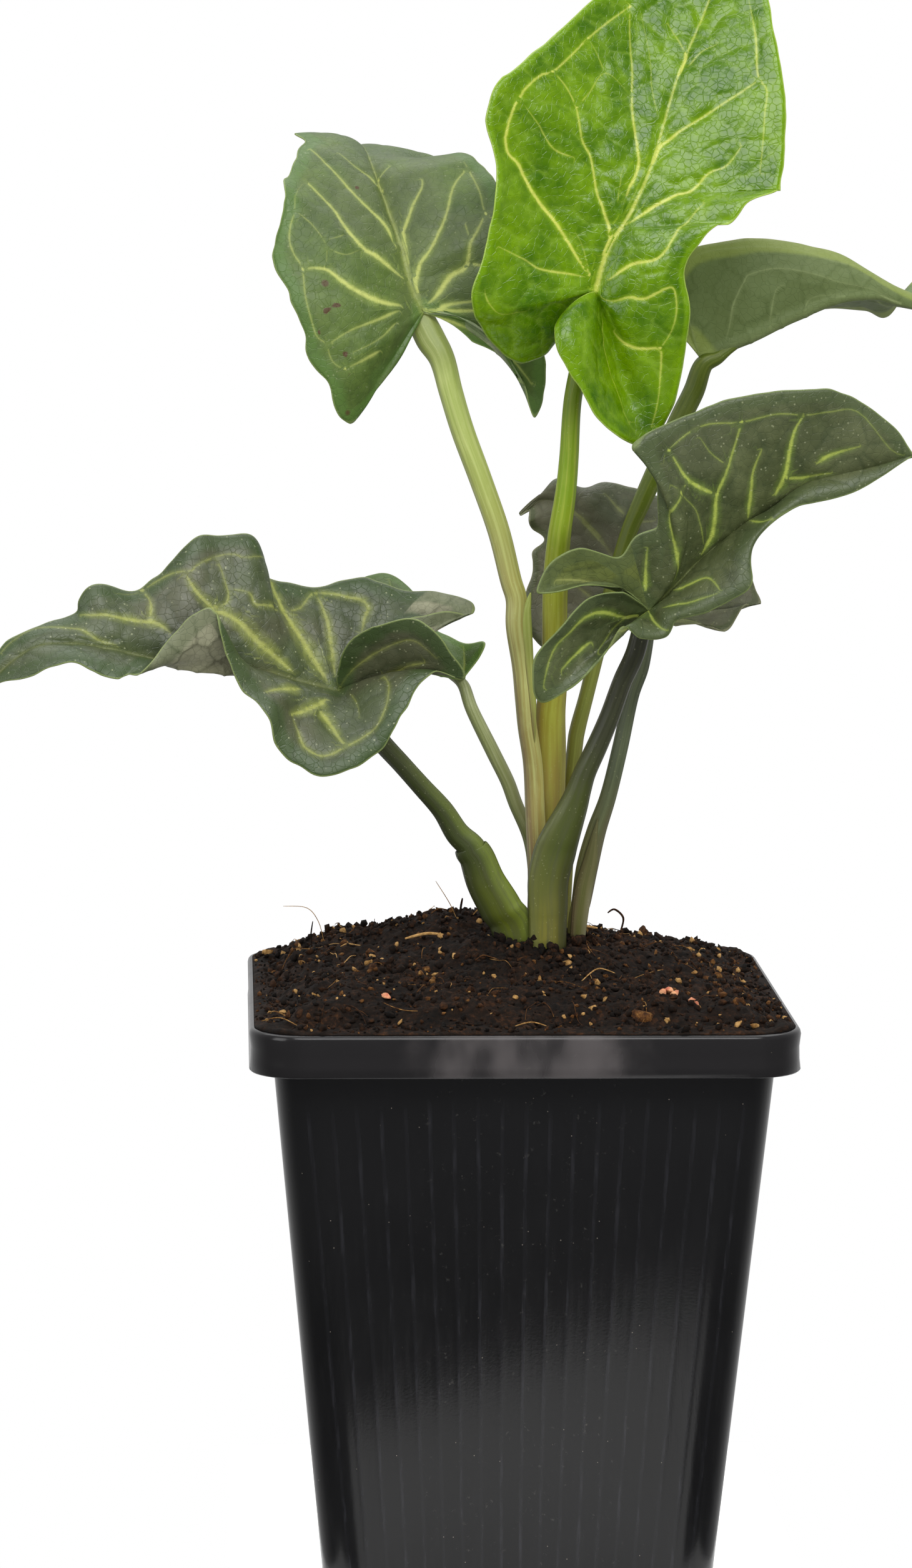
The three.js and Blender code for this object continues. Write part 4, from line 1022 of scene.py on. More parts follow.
def make_leaf(
    name, midrib, ribs, stalk, veins, stalk_look, seed, rays=RAYS, cells=CELLS, spots="",
    sheath="", sheath_look=None, **look,
):
    """One leaf's blade and stalk, and its sheath's raised edge if it shows. Stalk and sheath rows
    are x, y, z, half width and half depth; a vein is its two widths, then places on the blade; a
    spot is a place on the blade and a size."""
    leaf = {**PLAIN_LEAF, **look, "midrib": table(midrib), "ribs": table(ribs)}
    leaf["stalk"], leaf["spots"] = table(stalk), table(spots)
    leaf["veins"] = [(row[:2], np.reshape(row[2:], (-1, 2))) for row in table(veins)]
    slot = name.removeprefix("leaf_") + "_leaf"
    points, faces, marks = blade_mesh(leaf, rays, cells, seed)
    skin = leaf_finish(name + "_skin", leaf)
    make_piece(name + "_blade", points, faces, skin, slot, name, marks)
    skin = stalk_finish(name + "_stalk_skin", *stalk_look)
    points, faces, marks = stalk_mesh(stalk_with_tip(leaf), seed)
    make_piece(name + "_stalk", points, faces, skin, slot, name, marks)
    if sheath:
        points, faces, marks = stalk_mesh(table(sheath), seed, SHEATH_SIDES)
        skin = stalk_finish(name + "_sheath_skin", *sheath_look)
        make_piece(name + "_sheath", points, faces, skin, slot, name, marks)


# The young leaf stands in the middle, the tallest: glossy yellow-green, with cells that pillow up
# strongly between yellow veins. Its right lobe is folded forward over its own stalk.
make_leaf(
    "leaf_young",
    midrib="""
    12.5 -5 218.5; 14.5 -5 225.5; 18 -4 231; 22 -1 239.5; 26.5 5 253.5; 32.5 12 267; 37 20 278""",
    ribs="""
    0 6 -3 210 0 0 0 6 -11 214.5 0 -1 .8;
    0 4.5 -3 208 0 -.5 0 5 -13.5 212.5 0 -2 .3;
    0 2.5 -3.4 207 0 -1 0 5.5 -15 209 0 -2.6 0;
    0 -.5 -4 206.5 0 -1.5 0 9 -15.5 203 0 -2.5 0;
    0 -4 -6 209 0 -1.5 0 13 -14 197 0 -1 0;
    0 -6.5 -8 212 0 -1.5 0 20 -10 193 0 1 0;
    0 -8 -10 214.5 0 -1.5 0 24.5 -8 197.5 0 -1 0;
    0 -8.5 -11 218.5 0 -1 0 26.5 -7 203.5 0 -2 0;
    .02 -6.5 -11 224.5 0 0 0 28 -8 214.5 0 -2 0;
    .07 -5 -10 231 0 1 0 27 -8 222 0 -1.5 0;
    .16 -4.5 -8 239 0 1.5 0 29.5 -7.5 226.5 0 -1 0;
    .24 -6 -6.6 245 0 1.2 0 32.5 -6.8 229.5 0 -.4 0;
    .28 -6 -6 247.5 0 1 0 35 -6.5 230 0 0 0;
    .34 -5 -4.8 251.5 0 1 0 38 -5.4 233.5 0 0 0;
    .4 -3.5 -3.6 253.5 0 1 0 42.5 -3.8 235 0 0 0;
    .43 -2 -2.8 254.5 0 1 0 43.5 -3 236.5 0 0 0;
    .56 5 2 260 0 1 0 44.5 2 249.5 0 0 0;
    .72 13.5 8 267.5 0 1 0 43 7 261.5 0 0 0;
    .87 24.5 14 274 0 .5 0 41 13 271.5 0 0 0;
    1 37 20 278 0 0 0 37 20 278 0 0 0""",
    stalk="""
    5.5 4.8 92.5 2.1 1.15; 5.5 4.8 108.5 2.2 1.15; 6 4.7 119 2.4 1.25; 6 4.5 126.5 2.6 1.4;
    6 4 133.5 2.7 1.6; 6 3.4 140.5 2.75 1.8; 6 2.6 147 2.55 2; 6.5 1.7 153 2.25 2.1;
    6.5 .8 160 2.1 2.1; 6.5 0 169 2.1 2; 7 -.8 177 1.95 1.9; 8 -1.3 184.5 1.75 1.75;
    8.5 -1.5 190.5 1.62 1.62; 9 -2 200 1.5 1.5; 10.5 -2.4 208.5 1.5 1.5; 11 -3.2 214 1.5 1.4;
    12.5 -5 218.5 1.3 1.1""",
    veins="""
    1.1 .5 .442 -.07 .467 -.12 .504 -.38 .529 -.67 .558 -.77 .567 -.85 .646 -.85 .725 -.85 .804
      -.87 .821 -.83 .862 -.8 .9 -.7;
    1 .4 .512 -.02 .55 -.02 .575 -.05 .642 -.15 .667 -.22 .767 -.4 .804 -.53 .817 -.67 .821 -.83;
    1 .4 .671 -.05 .75 -.07 .804 -.07 .821 -.12 .838 -.23 .85 -.3 .867 -.4 .9 -.7;
    .8 .3 .45 -.1 .425 -.47 .433 -.65 .438 -.9;
    .6 .25 .7 -.4 .675 -.55 .696 -.68 .713 -.83;
    .5 .2 .812 -.58 .829 -.57 .85 -.55 .85 -.32;
    .4 .2 .85 -.55 .858 -.7 .862 -.8;
    .5 .2 .375 -.9 .333 -.85 .3 -.78 .283 -.58;
    1 .5 .821 0 .833 .02 .838 .1 .842 .17 .85 .4 .862 .78;
    1.1 .35 .642 .03 .692 .15 .754 .3 .8 .43 .808 .57 .821 .67;
    1.1 .35 .458 .1 .492 .33 .508 .65 .621 .58 .692 .6;
    .9 .35 .362 .05 .417 .3 .425 .48 .442 .67 .45 .83 .433 .85 .404 .82 .379 .72;
    1 .35 .296 .28 .312 .4 .358 .57 .379 .72 .367 .77 .333 .82 .287 .93;
    .7 .3 .925 .7 .896 .78 .867 .78 .854 .85 .838 .83 .812 .83 .8 .83;
    .6 .3 .879 0 .892 0 .904 -.3;
    .5 .25 .883 .07 .892 .17 .896 .35;
    .5 .25 .237 .15 .225 .42 .242 .65 .254 .87;
    .35 .2 .85 -.05 .862 -.17 .879 -.3 .9 -.57;
    .4 .2 .462 -.08 .5 -.18 .517 -.28;
    .4 .2 .671 -.08 .742 -.13 .8 -.15""",
    spine=(1.5, 0.45),
    colours=dict(
        deep="355c00", fresh="688c00", border="6a9004", tired="6c9204", net="86a438",
        vein="cccf62", halo="98b224", under="8fb056", under_deep="749a3e", under_net="5f8430",
        under_vein="b9cc74", margin="b5cc62", glow="8cb808",
    ),
    stalk_look=("a08c4c 8a8826 6f8c14 a4ac48 7a6434 7c7038", 190, 120, 0.38),
    quilt=0.3, wave=0.35, border=1.4, net_show=0.26, halo_edge=1.1, fade=0.25, vein_show=0.9,
    spine_show=0.7, age=0, specks=0.06, rough=0.21, crimp=2, through=0.14, seed=3,
)

# The upper left leaf is older: a dull grey-green, speckled, with broad yellow veins. Its far part
# curls down behind, and its right lobe twists away behind the young leaf.
make_leaf(
    "leaf_upper_left",
    midrib="""
    -16 6 214.5; -18 7 219.5; -19.5 10 225.5; -22 15 232.5; -24.5 22 239.5; -26 33 242;
    -27.5 43 239.5; -29 50 235""",
    ribs="""
    0 -25 2 204 1.5 1 0 -7.5 5 209.5 0 0 1;
    0 -26 1 200 1 0 0 -1.5 4 206.5 .5 -.5 2;
    0 -27 0 197.5 1 -1 0 1 3 202.5 1.3 -1 3.2;
    0 -28.5 -1 196 0 -1 0 2 4 198.5 2.5 -1 3.2;
    0 -30.5 -2 197.5 0 -1.5 0 3 5 196.5 2.5 -1 3;
    0 -32 -3 202.5 0 -2 0 4.5 6 199 2.5 -1 2.4;
    0 -35 -3 207 0 -2 0 5 6 203.5 1 -1 .8;
    0 -36.5 -2 212.5 0 -2 0 5 5 208.5 0 0 0;
    .02 -38.5 -1 217.5 0 -2 0 4 5 213.5 0 0 0;
    .06 -41 1 223 0 -2 0 2.5 5 219.5 0 0 0;
    .12 -41 3.5 226.5 0 -2 0 1 6 225.5 0 0 0;
    .16 -40 5.5 229.5 0 -2 0 .5 7 227.5 0 -.5 0;
    .19 -39 7 231.5 0 -2 0 0 8 229 0 -1 0;
    .22 -39.5 9 234.5 0 -1.5 0 -.5 9 230.5 0 -1 0;
    .28 -39 12 236.5 0 -1.5 0 -2 11.5 233 0 -1 0;
    .34 -37.5 15 239 0 -1.5 0 -3 14 235.5 0 -1.5 0;
    .42 -36.5 19 241.5 0 -1.5 .3 -5 17.5 238 0 -1.5 0;
    .48 -35.5 22 243 0 -1.5 .5 -7 20 240 0 -2 0;
    .54 -37 25.5 244 0 -1 1.2 -9 24 240.5 0 -1.5 0;
    .59 -35 29 244 0 -1 1.2 -11.5 29 238.5 0 -1.5 .5;
    .64 -33.5 33 243 0 -1 1.5 -11 33 239 0 -1 1;
    .82 -31.5 43 239.5 0 0 1 -17.5 43 237.5 0 0 1;
    1 -29 50 235 0 0 0 -29 50 235 0 0 0""",
    stalk="""
    4.5 1 92.5 1.6 1; 4 1 109 1.65 1; 4 .7 119.5 1.65 1.1; 3.5 .3 129.5 1.65 1.2;
    3 -.3 138.5 1.62 1.35; 2 -.7 145 1.62 1.5; 1.5 -.8 150 1.65 1.65; 1 -.7 155.5 1.7 1.75;
    0 -.5 162 1.75 1.8; 0 -.2 166.5 1.8 1.8; -1 .2 170 1.8 1.8; -3 1.5 178 1.85 1.8;
    -6 2.5 186.5 1.9 1.9; -9 3.5 194.5 1.95 1.9; -11 4.3 201 2 1.9; -12.5 5.2 206.5 2.15 1.85;
    -14.5 6.2 210 2.5 1.7; -16 6.8 214.5 2.3 1.3""",
    veins="""
    1.4 .5 .479 -.05 .533 -.22 .546 -.37 .596 -.5 .633 -.6 .658 -.85;
    1 .4 .621 -.05 .675 -.12 .696 -.35 .721 -.62 .742 -.9;
    .7 .3 .762 -.03 .775 -.13 .775 -.33 .787 -.52;
    1.5 .5 .367 -.15 .375 -.32 .396 -.48 .421 -.6 .421 -.68 .408 -.8;
    .8 .3 .338 -.18 .308 -.37 .296 -.6 .283 -.8;
    .8 .3 .217 -.47 .225 -.65 .233 -.82;
    .5 .25 .275 -.22 .246 -.4 .25 -.67;
    .5 .3 .658 -.85 .55 -.92 .479 -.9 .438 -.85 .408 -.8 .358 -.88 .304 -.9 .283 -.83 .25 -.85
      .229 -.8;
    .4 .2 .55 -.92 .537 -.78 .483 -.63 .425 -.63;
    .4 .2 .479 -.63 .483 -.48 .537 -.37;
    .4 .2 .558 -.52 .508 -.63;
    1.2 .4 .575 .02 .625 .03 .658 .05 .675 .08 .708 .23 .733 .37 .754 .42;
    1.2 .45 .433 .03 .471 .05 .529 .1 .579 .17 .642 .4 .704 .6 .738 .82;
    1.4 .45 .396 .08 .446 .33 .462 .5 .567 .6 .625 .8;
    1.2 .4 .375 .15 .388 .28 .392 .53;
    .8 .4 .462 .5 .446 .63 .433 .77;
    .5 .25 .625 .6 .583 .58;
    .5 .3 .767 .88 .696 .83 .625 .8 .608 .82;
    .6 .3 .754 .03 .779 0 .812 .2;
    1 .35 .2 .02 .207 .3 .214 .59 .22 .85;
    1 .35 .36 .02 .367 .3 .374 .59 .38 .85""",
    spots="""
    .338 -.77 .8; .35 -.68 .7; .35 -.65 .6; .304 -.87 .6; .254 -.73 .8; .717 -.35 .6;
    .342 -.73 .5""",
    sheath="""
    2.3 -1 167.8 .12 .1; 1.9 -1.2 166 .55 .25; 1.5 -1.5 164 .95 .35; 1.8 -2 159.3 .9 .35;
    2.2 -2.2 154.6 .75 .35; 2.7 -2.2 149.8 .62 .35; 3 -2 145.1 .35 .3; 3.1 -1.6 141.8 .1 .15""",
    spine=(2.2, 0.4),
    colours=dict(
        deep="3e5222", fresh="586c30", border="4c6a2e", tired="5c6048", net="3c4c24",
        vein="bcc26c", halo="8b9b4c", under="848c70", under_deep="70785a", under_net="5a6248",
        under_vein="b0b48c", margin="98a868", glow="7a9a24",
    ),
    stalk_look=("84703e 908848 92a052 bcc480 7a6850 a49a50", 200, 112, 0.42),
    sheath_look=("6c6434 868a42 7e8a3a a4aa64 5c4430 868e3c", 166, 142, 0.42),
    quilt=0.16, vein_edge=0.62, vein_show=0.85, specks=0.25, scars=0.8, rough=0.44, crimp=1,
    seed=5,
)

# The broad leaf low on the left is tired: it hangs out level, its near margin rises in an arch over
# the midrib, and its front lobe curls up and round like a spoon.
make_leaf(
    "leaf_left",
    midrib="""
    -30 -8 152; -36 -9 153.5; -40.5 -10 155; -45 -11 155.5; -50 -12 156; -55 -13 157;
    -61.5 -14 158; -67.5 -15 159.5; -74 -16 160.5; -80.5 -17 160; -86 -18 156; -89.5 -19 151.5""",
    ribs="""
    0 -24.5 -15 163.5 -2 -1 1 -18.5 -4 163.5 0 0 0;
    0 -18.5 -16 165 -1 -1 1.5 -12 -3 165 0 0 0;
    0 -13.5 -16 162 0 -1 2 -7.5 -1 164 0 -1 1;
    0 -9 -13 154.5 0 -1 2 -7.5 1 166 0 -1 1.5;
    0 -15 -15 155 0 -1.5 1.5 -13 2 168 0 -1 1;
    0 -19.5 -18 149.5 0 -2 1 -18.5 2 168 0 -1 0;
    0 -22 -20 145 0 -2 1 -22.5 2 169 0 -1 0;
    0 -24 -21 143 0 -2 1 -25.5 3 170 0 -1 0;
    0 -28 -23 140.5 0 -2 1 -29.5 2 169.5 0 -1 0;
    .02 -33.5 -24 139.5 0 -2 1 -34 1 168.5 0 -1 0;
    .06 -40 -23 143.5 0 -2 1 -38.5 0 169 0 -1 0;
    .11 -42 -22 149 0 -2 1 -42.5 -1 171 0 -1.5 0;
    .17 -45.5 -20 152.5 0 -2 .5 -42.5 -1 174.5 0 -1.5 0;
    .24 -49 -19 159 0 -2 0 -44.5 -2 177.5 0 -1.5 0;
    .32 -51.5 -18 167 0 -2 0 -50 -3 177.5 0 -1.5 0;
    .41 -57.5 -18 162.5 0 -2 0 -55 -5 176.5 0 -1.5 0;
    .49 -62.5 -20 156.5 0 -1 0 -60.5 -7 171 0 -1 0;
    .54 -65 -21 156 0 -1 0 -64 -8 169 0 -1 0;
    .57 -66.5 -22 155.5 0 -1 0 -67.5 -9 169.5 0 -1 0;
    .61 -69 -22 156 0 -1 0 -71 -10 169.5 0 -1 0;
    .64 -71 -22 157 0 -1 0 -73 -10.5 167.5 0 -1 0;
    .7 -74.5 -21 158 0 -1 0 -74 -11.5 165 0 -1 0;
    .84 -80.5 -21 155.5 0 -.5 0 -81 -14 162.5 0 -.5 0;
    .93 -86 -20 154.5 0 -.3 0 -86 -16 160 0 -.3 0;
    1 -89.5 -19 151.5 0 0 0 -89.5 -19 151.5 0 0 0""",
    stalk="""
    1.5 -1.2 92.5 3.1 1.2; 0 -1.4 109.5 3.6 1.3; -2.5 -2.6 114.5 3.55 1.5; -5 -3.2 119 3.25 1.7;
    -6.5 -3.6 123 2.95 1.9; -7.5 -3.8 124.5 2.8 1.9; -8 -3.9 125.5 2.25 1.9;
    -10 -4 127.5 2.05 1.9; -12.5 -4.6 131.5 1.8 1.8; -16 -5.4 135.5 1.65 1.7;
    -19.5 -6.4 139.5 1.6 1.7; -23.5 -7.4 144 1.65 1.7; -27 -8 149 1.7 1.7; -30 -8 152 1.5 1.2""",
    veins="""
    2 .7 .388 .05 .408 .3 .425 .53 .438 .7 .446 .85 .446 .97;
    1.3 .5 .358 .13 .362 .65 .375 .93;
    2 .6 .462 .07 .533 .2 .571 .37 .604 .48 .625 .63 .633 .78;
    1.3 .5 .662 .33 .692 .52 .771 .55 .825 .65 .862 .83;
    1.2 .5 .254 .53 .263 .67 .263 .77 .317 .83 .375 .93 .408 .77 .438 .7;
    1 .4 .692 .52 .683 .75 .696 .98;
    1 .4 .604 .48 .588 .48 .579 .57 .588 .8;
    .9 .4 .438 .7 .533 .5 .55 .57 .575 .6;
    .6 .4 .754 .88 .692 .95 .658 .92 .629 .78 .617 .8 .583 .85 .567 .85 .546 .83 .475 1 .446 .97;
    .8 .35 .8 .08 .85 .18 .871 .47 .887 .63 .917 .92 .954 .72;
    1.5 .5 .438 -.17 .467 -.42 .483 -.67;
    1.8 .7 .388 -.17 .408 -.38 .425 -.58;
    1.6 .6 .392 -.32 .367 -.45 .342 -.7;
    1 .4 .133 -.35 .113 -.53 .108 -.72;
    .8 .5 .425 -.58 .408 -.67 .396 -.78 .379 -.8 .362 -.77 .338 -.73 .292 -.75 .225 -.77 .192
      -.68 .171 -.5;
    .6 .3 .042 -.03 .062 -.3 .071 -.53 .079 -.73 .096 -.8 .104 -.83;
    .5 .25 .221 -.18 .254 -.38 .292 -.52""",
    spine=(1.8, 0.7),
    flaps=[(1, 0.08, 0.18, 0.72)],
    colours=dict(
        deep="343e22", fresh="485234", border="324620", tired="504e3c", net="2e3820",
        vein="acb05c", halo="838c3e", under="94947a", under_deep="6c6c54", under_net="3c3c28",
        under_vein="9a9c6c", margin="8c9a5c", glow="6a8a20",
    ),
    stalk_look=("4e5618 363f1c 2c2e22 43452f 2c321c 6e7c30", 150, 108, 0.4),
    net=4, quilt=0.24, wave=0.7, border=3.6, net_show=0.45, fade=0.8, vein_show=0.5,
    spine_show=0.2, age=0.55, specks=0.5, rough=0.4, shine=0.48, through=0.06, seed=7,
)

# A small leaf behind it looks over its shoulder: one lobe's dome and its tip show.
make_leaf(
    "leaf_left_rear",
    midrib="""
    -8.5 9 152; -12.5 14 155; -19 21 158; -27.5 30 159.5; -35 38 157.5""",
    ribs="""
    0 -10 5 153.5 0 0 0 -6 9 156 0 0 0;
    0 -12.5 3 154 0 0 0 -5 10 158.5 0 0 0;
    0 -15.5 3 154 0 0 0 -8 14 158 0 0 0;
    .06 -18.5 5 153.5 0 0 1 -12.5 18 159.5 0 -1 .5;
    .18 -21.5 9 154 0 0 1 -14.5 22 162 0 -1 .5;
    .33 -24.5 13 154.5 0 0 1 -16.5 27 165.5 0 -1 .5;
    .5 -27.5 18 154.5 0 0 1 -19.5 31 168 0 -1 .5;
    .66 -30 24 155 0 0 1 -23.5 34 168 0 -1 .5;
    .84 -33 32 156 0 0 .5 -29 38 164.5 0 -.5 .5;
    1 -35 38 157.5 0 0 0 -35 38 157.5 0 0 0""",
    stalk="""
    4.5 8.4 92.5 1.2 1.1; 4.5 8.2 108 1.2 1.1; 4 7.9 118.5 1.2 1.15; 3 7.6 125 1.2 1.2;
    .5 7 131 1.2 1.2; -1 6.8 135 1.2 1.2; -3.5 6.6 140 1.2 1.2; -7 7.6 147 1.1 1.1;
    -8.5 8.4 149.5 1.05 1; -9 9 151.5 .9 .8""",
    veins="""
    .8 .3 .317 .05 .379 .37 .475 .42;
    .8 .3 .201 -.02 .211 -.32 .221 -.63 .23 -.9;
    .8 .3 .451 -.02 .468 -.32 .485 -.63 .5 -.9;
    .8 .3 .651 -.02 .667 -.32 .685 -.63 .7 -.9;
    .8 .3 .201 .02 .211 .32 .221 .63 .23 .9;
    .7 .3 .651 .02 .667 .32 .685 .63 .7 .9""",
    spine=(1, 0.4),
    colours=dict(
        deep="3a5020", fresh="4c6430", border="4a6a1c", tired="5c6c38", net="3c5020",
        vein="a3a850", halo="7f9034", under="7f9a52", under_deep="637d3a", under_net="4c6428",
        under_vein="a3b470", margin="94a860", glow="74961c",
    ),
    stalk_look=("8a8c54 7e8452 767e4c a8ac84 5f683c a0a47c", 145, 112, 0.42),
    net=3.6, wave=0.5, border=2, net_show=0.15, halo_show=0.4, halo_edge=1.4, vein_edge=0.45,
    shine=0.32, through=0.08, seed=9, rays=SMALL_RAYS, cells=SMALL_CELLS,
)

# The right rear leaf is seen from below: its pale underside, the border of dark cross veins along
# its near margin, and a keel that runs out to its tip.
make_leaf(
    "leaf_right_rear",
    midrib="""
    31.5 12 206.5; 36.5 12 209; 41 12 211; 47 12 214; 54.5 12 217; 61.5 13 217.5; 66.5 14 216;
    76 17 214""",
    ribs="""
    0 35.5 20 207.5 0 0 0 29 10 209.5 0 0 0;
    0 35 32 208 0 0 0 26.5 9 212.5 0 0 0;
    0 34 40 209 0 0 1 25 9 216 0 0 0;
    0 37.5 38 210 0 0 1 25.5 10 220 0 0 0;
    .05 40 34 209.5 0 0 1 27.5 11 223.5 0 -1 0;
    .15 42 30 209.5 0 0 1 30.5 12 225.5 0 -1.5 0;
    .3 48 28 212 0 0 1 36 13 226.5 0 -2 0;
    .45 54.5 26 214.5 0 0 .5 42 14 227 0 -2 0;
    .6 61 24 214.5 0 0 .5 49.5 15 225.5 0 -2 0;
    .73 65 23 213.5 0 0 0 56 15 224 0 -1.5 0;
    .87 71 24 220.5 0 0 0 64.5 15 219 0 -1 0;
    1 76 17 214 0 0 0 76 17 214 0 0 0""",
    stalk="""
    8 7.8 92.5 1.6 1; 8.5 7.7 108 1.5 1; 9 7.5 118.5 1.4 1.1; 9.5 7.2 129.5 1.35 1.2;
    10.5 6.8 140.5 1.35 1.3; 11 6.7 144 1.35 1.3; 12.5 6.5 150 1.25 1.3; 14.5 6.8 158.5 1.3 1.3;
    16.5 7.4 167 1.35 1.35; 19 8.1 176 1.35 1.4; 21.5 8.8 182 1.55 1.5; 25 9.8 189.5 1.75 1.6;
    28 10.6 196 1.8 1.7; 30.5 11.4 201 1.8 1.7; 32.5 12 204.5 1.6 1.5; 33 12 207.5 1.3 1.2""",
    veins="""
    .7 .3 .438 .05 .471 .18 .5 .35 .55 .55 .571 .6 .642 .58 .696 .45 .758 .23 .892 .07;
    .6 .3 .571 .02 .592 .2 .613 .35 .633 .38;
    .5 .25 .646 0 .671 .12 .729 .05;
    .5 .3 .4 .9 .517 .92 .621 .88 .713 .82 .787 .67 .896 .85;
    1 .35 .12 -.02 .127 -.3 .134 -.59 .14 -.85;
    1 .35 .301 -.02 .31 -.3 .321 -.59 .33 -.85;
    1 .35 .501 -.02 .517 -.3 .535 -.59 .55 -.85;
    .9 .35 .661 -.02 .677 -.3 .695 -.59 .71 -.85;
    .8 .3 .801 -.02 .818 -.3 .835 -.59 .85 -.85;
    .9 .3 .12 .02 .127 .28 .134 .56 .14 .8;
    .7 .3 .301 .02 .314 .28 .328 .56 .34 .8""",
    spine=(1.5, 0.5),
    colours=dict(
        deep="46601c", fresh="5c783a", border="8c9a48", tired="66703c", net="4c6028",
        vein="a3ac50", halo="7f9038", under="616f44", under_deep="566338", under_net="4c5a30",
        under_vein="8a9666", margin="949c58", glow="7a9a1c",
    ),
    stalk_look=("74662a 6c7430 5a6c18 8c9440 6e6a2c 80803e", 190, 115, 0.4),
    quilt=0.05, wave=0.3, border=3.6, net_show=0.05, halo_show=0.3, halo_edge=1.4, vein_edge=0.4,
    age=0.2, shine=0.38, through=0.1, seed=11, rays=240, cells=28,
)

# The right front leaf is the darkest. Its near half is bent down along the midrib, its rear lobe
# folds forward and its front lobe hangs in front of the stalks.
make_leaf(
    "leaf_right_front",
    midrib="""
    21.5 -10 165.5; 26 -10 170; 30 -9 174; 37.5 -8 180; 42 -7 182.5; 48 -7 186.5; 55 -7 188.5;
    60.5 -7 190; 65.5 -8 191.5""",
    ribs="""
    0 17 -13 169.5 0 0 .5 16.5 -18 169.5 0 -1 .5;
    0 9.5 -17 170.5 0 0 2 10.5 -20 168.5 0 -1 1;
    0 2.5 -17 169 0 0 3 5.5 -21 163.5 0 -1 1;
    0 4.5 -16 174 0 0 2 1.5 -21 158.5 0 -1 1;
    0 9.5 -15 176.5 0 0 1 2.5 -20 151.5 0 -1 1;
    0 16 -13 175 0 0 0 8 -19 153.5 0 -1.5 1;
    0 19 -13 178.5 0 0 0 13 -18 158.5 0 -2 1;
    0 22.5 -13 180 .5 -.5 0 16.5 -17 163.5 0 -2 0;
    0 22.5 -14 185 1.9 -1 0 19.5 -17 161.5 0 -2 0;
    0 21 -15 190.5 3.8 -1.5 0 24 -16 161.5 0 -2 0;
    .03 18 -16 193 5.6 -2 -.4 25.5 -16 164.5 0 -2 0;
    .07 19.5 -15.5 195 5 -2 0 28.5 -16.5 165.5 0 -2 0;
    .11 22.5 -15 196.5 3.6 -1.5 0 31.5 -17 166.5 0 -2 0;
    .23 32.5 -13 200.5 1.2 -1.5 0 37.5 -17 170 0 -2 0;
    .4 44 -11 202.5 0 -1.5 0 38.5 -14 177 0 -2 0;
    .6 53.5 -9 202 0 -1.5 0 44.5 -11 182.5 0 -1 0;
    .8 62 -8 196.5 0 -1 0 56 -9 185.5 0 -.5 0;
    1 65.5 -8 191.5 0 0 0 65.5 -8 191.5 0 0 0""",
    stalk="""
    5.5 -3.8 92.5 3 1.1; 5.5 -3.8 110 3.1 1.1; 5.5 -3.9 114.5 3.25 1.2; 5.5 -4 119.5 3.4 1.3;
    6.5 -4.2 124 3.5 1.4; 7.5 -4.5 127 3.2 1.5; 9.5 -4.8 132 2.45 1.65; 10.5 -5 135 2.05 1.75;
    11.5 -5.1 138 1.85 1.8; 13.5 -5.3 142.5 1.75 1.8; 15.5 -5.8 147.5 1.65 1.75;
    17.5 -6.8 153.5 1.6 1.75; 19.5 -8.3 158.5 1.6 1.7; 21 -9.4 163 1.55 1.5;
    21.5 -10 165.5 1.4 1.2""",
    veins="""
    1.5 .5 .771 -.05 .779 -.13 .775 -.28 .771 -.42 .779 -.55 .787 -.83;
    1.2 .4 .771 -.42 .733 -.57 .713 -.67 .704 -.77 .7 -.87;
    1.1 .4 .817 -.03 .812 -.25 .808 -.43 .812 -.57;
    1.4 .5 .85 -.13 .854 -.28 .846 -.62 .85 -.78;
    1.1 .4 .887 -.25 .896 -.32 .908 -.38 .921 -.47;
    1.1 .4 .692 -.07 .583 -.35 .529 -.55 .529 -.65 .642 -.62 .713 -.65;
    1.2 .4 .358 -.27 .367 -.5 .379 -.8;
    .5 .3 .65 -.83 .7 -.87 .746 -.9 .787 -.83 .821 -.82 .854 -.78 .879 -.8 .912 -.85 .979 -.35;
    .5 .25 .771 -.1 .742 -.32 .704 -.55 .629 -.73;
    .5 .25 .779 -.58 .754 -.72 .742 -.85;
    1 .4 .854 -.27 .883 -.13 .908 -.08;
    1 .4 .7 .05 .729 .18 .754 .33 .742 .68;
    .8 .3 .604 .25 .7 .55 .738 .68;
    1.2 .4 .192 .1 .113 .45 .108 .75 .15 .78 .188 .85 .221 .93;
    1 .4 .204 .5 .212 .67 .217 .78;
    .6 .3 .192 .1 .179 .22 .4 1;
    1 .35 .12 -.02 .127 -.3 .134 -.59 .14 -.85;
    1 .35 .361 .02 .37 .3 .381 .59 .39 .85;
    1 .35 .501 .02 .517 .3 .535 .59 .55 .85;
    .9 .3 .821 .02 .834 .3 .848 .59 .86 .85""",
    spine=(1.3, 0.4),
    flaps=[(-1, -0.01, 0.33, -0.01)],
    colours=dict(
        deep="384024", fresh="535a38", border="445030", tired="5c6048", net="2c3820",
        vein="aebb54", halo="6f8634", under="5a632f", under_deep="454e24", under_net="2c3416",
        under_vein="a3a860", margin="849458", glow="6f901c",
    ),
    stalk_look=("6c6826 434c1e 2c2e20 40432e 5c6030 24260e", 150, 104, 0.4),
    net=4.2, wave=0.5, net_show=0.4, halo_edge=1.5, vein_edge=0.55, vein_show=0.8,
    spine_show=0.15, age=0.25, specks=0.4, shine=0.42, crimp=1.1, seed=13,
)

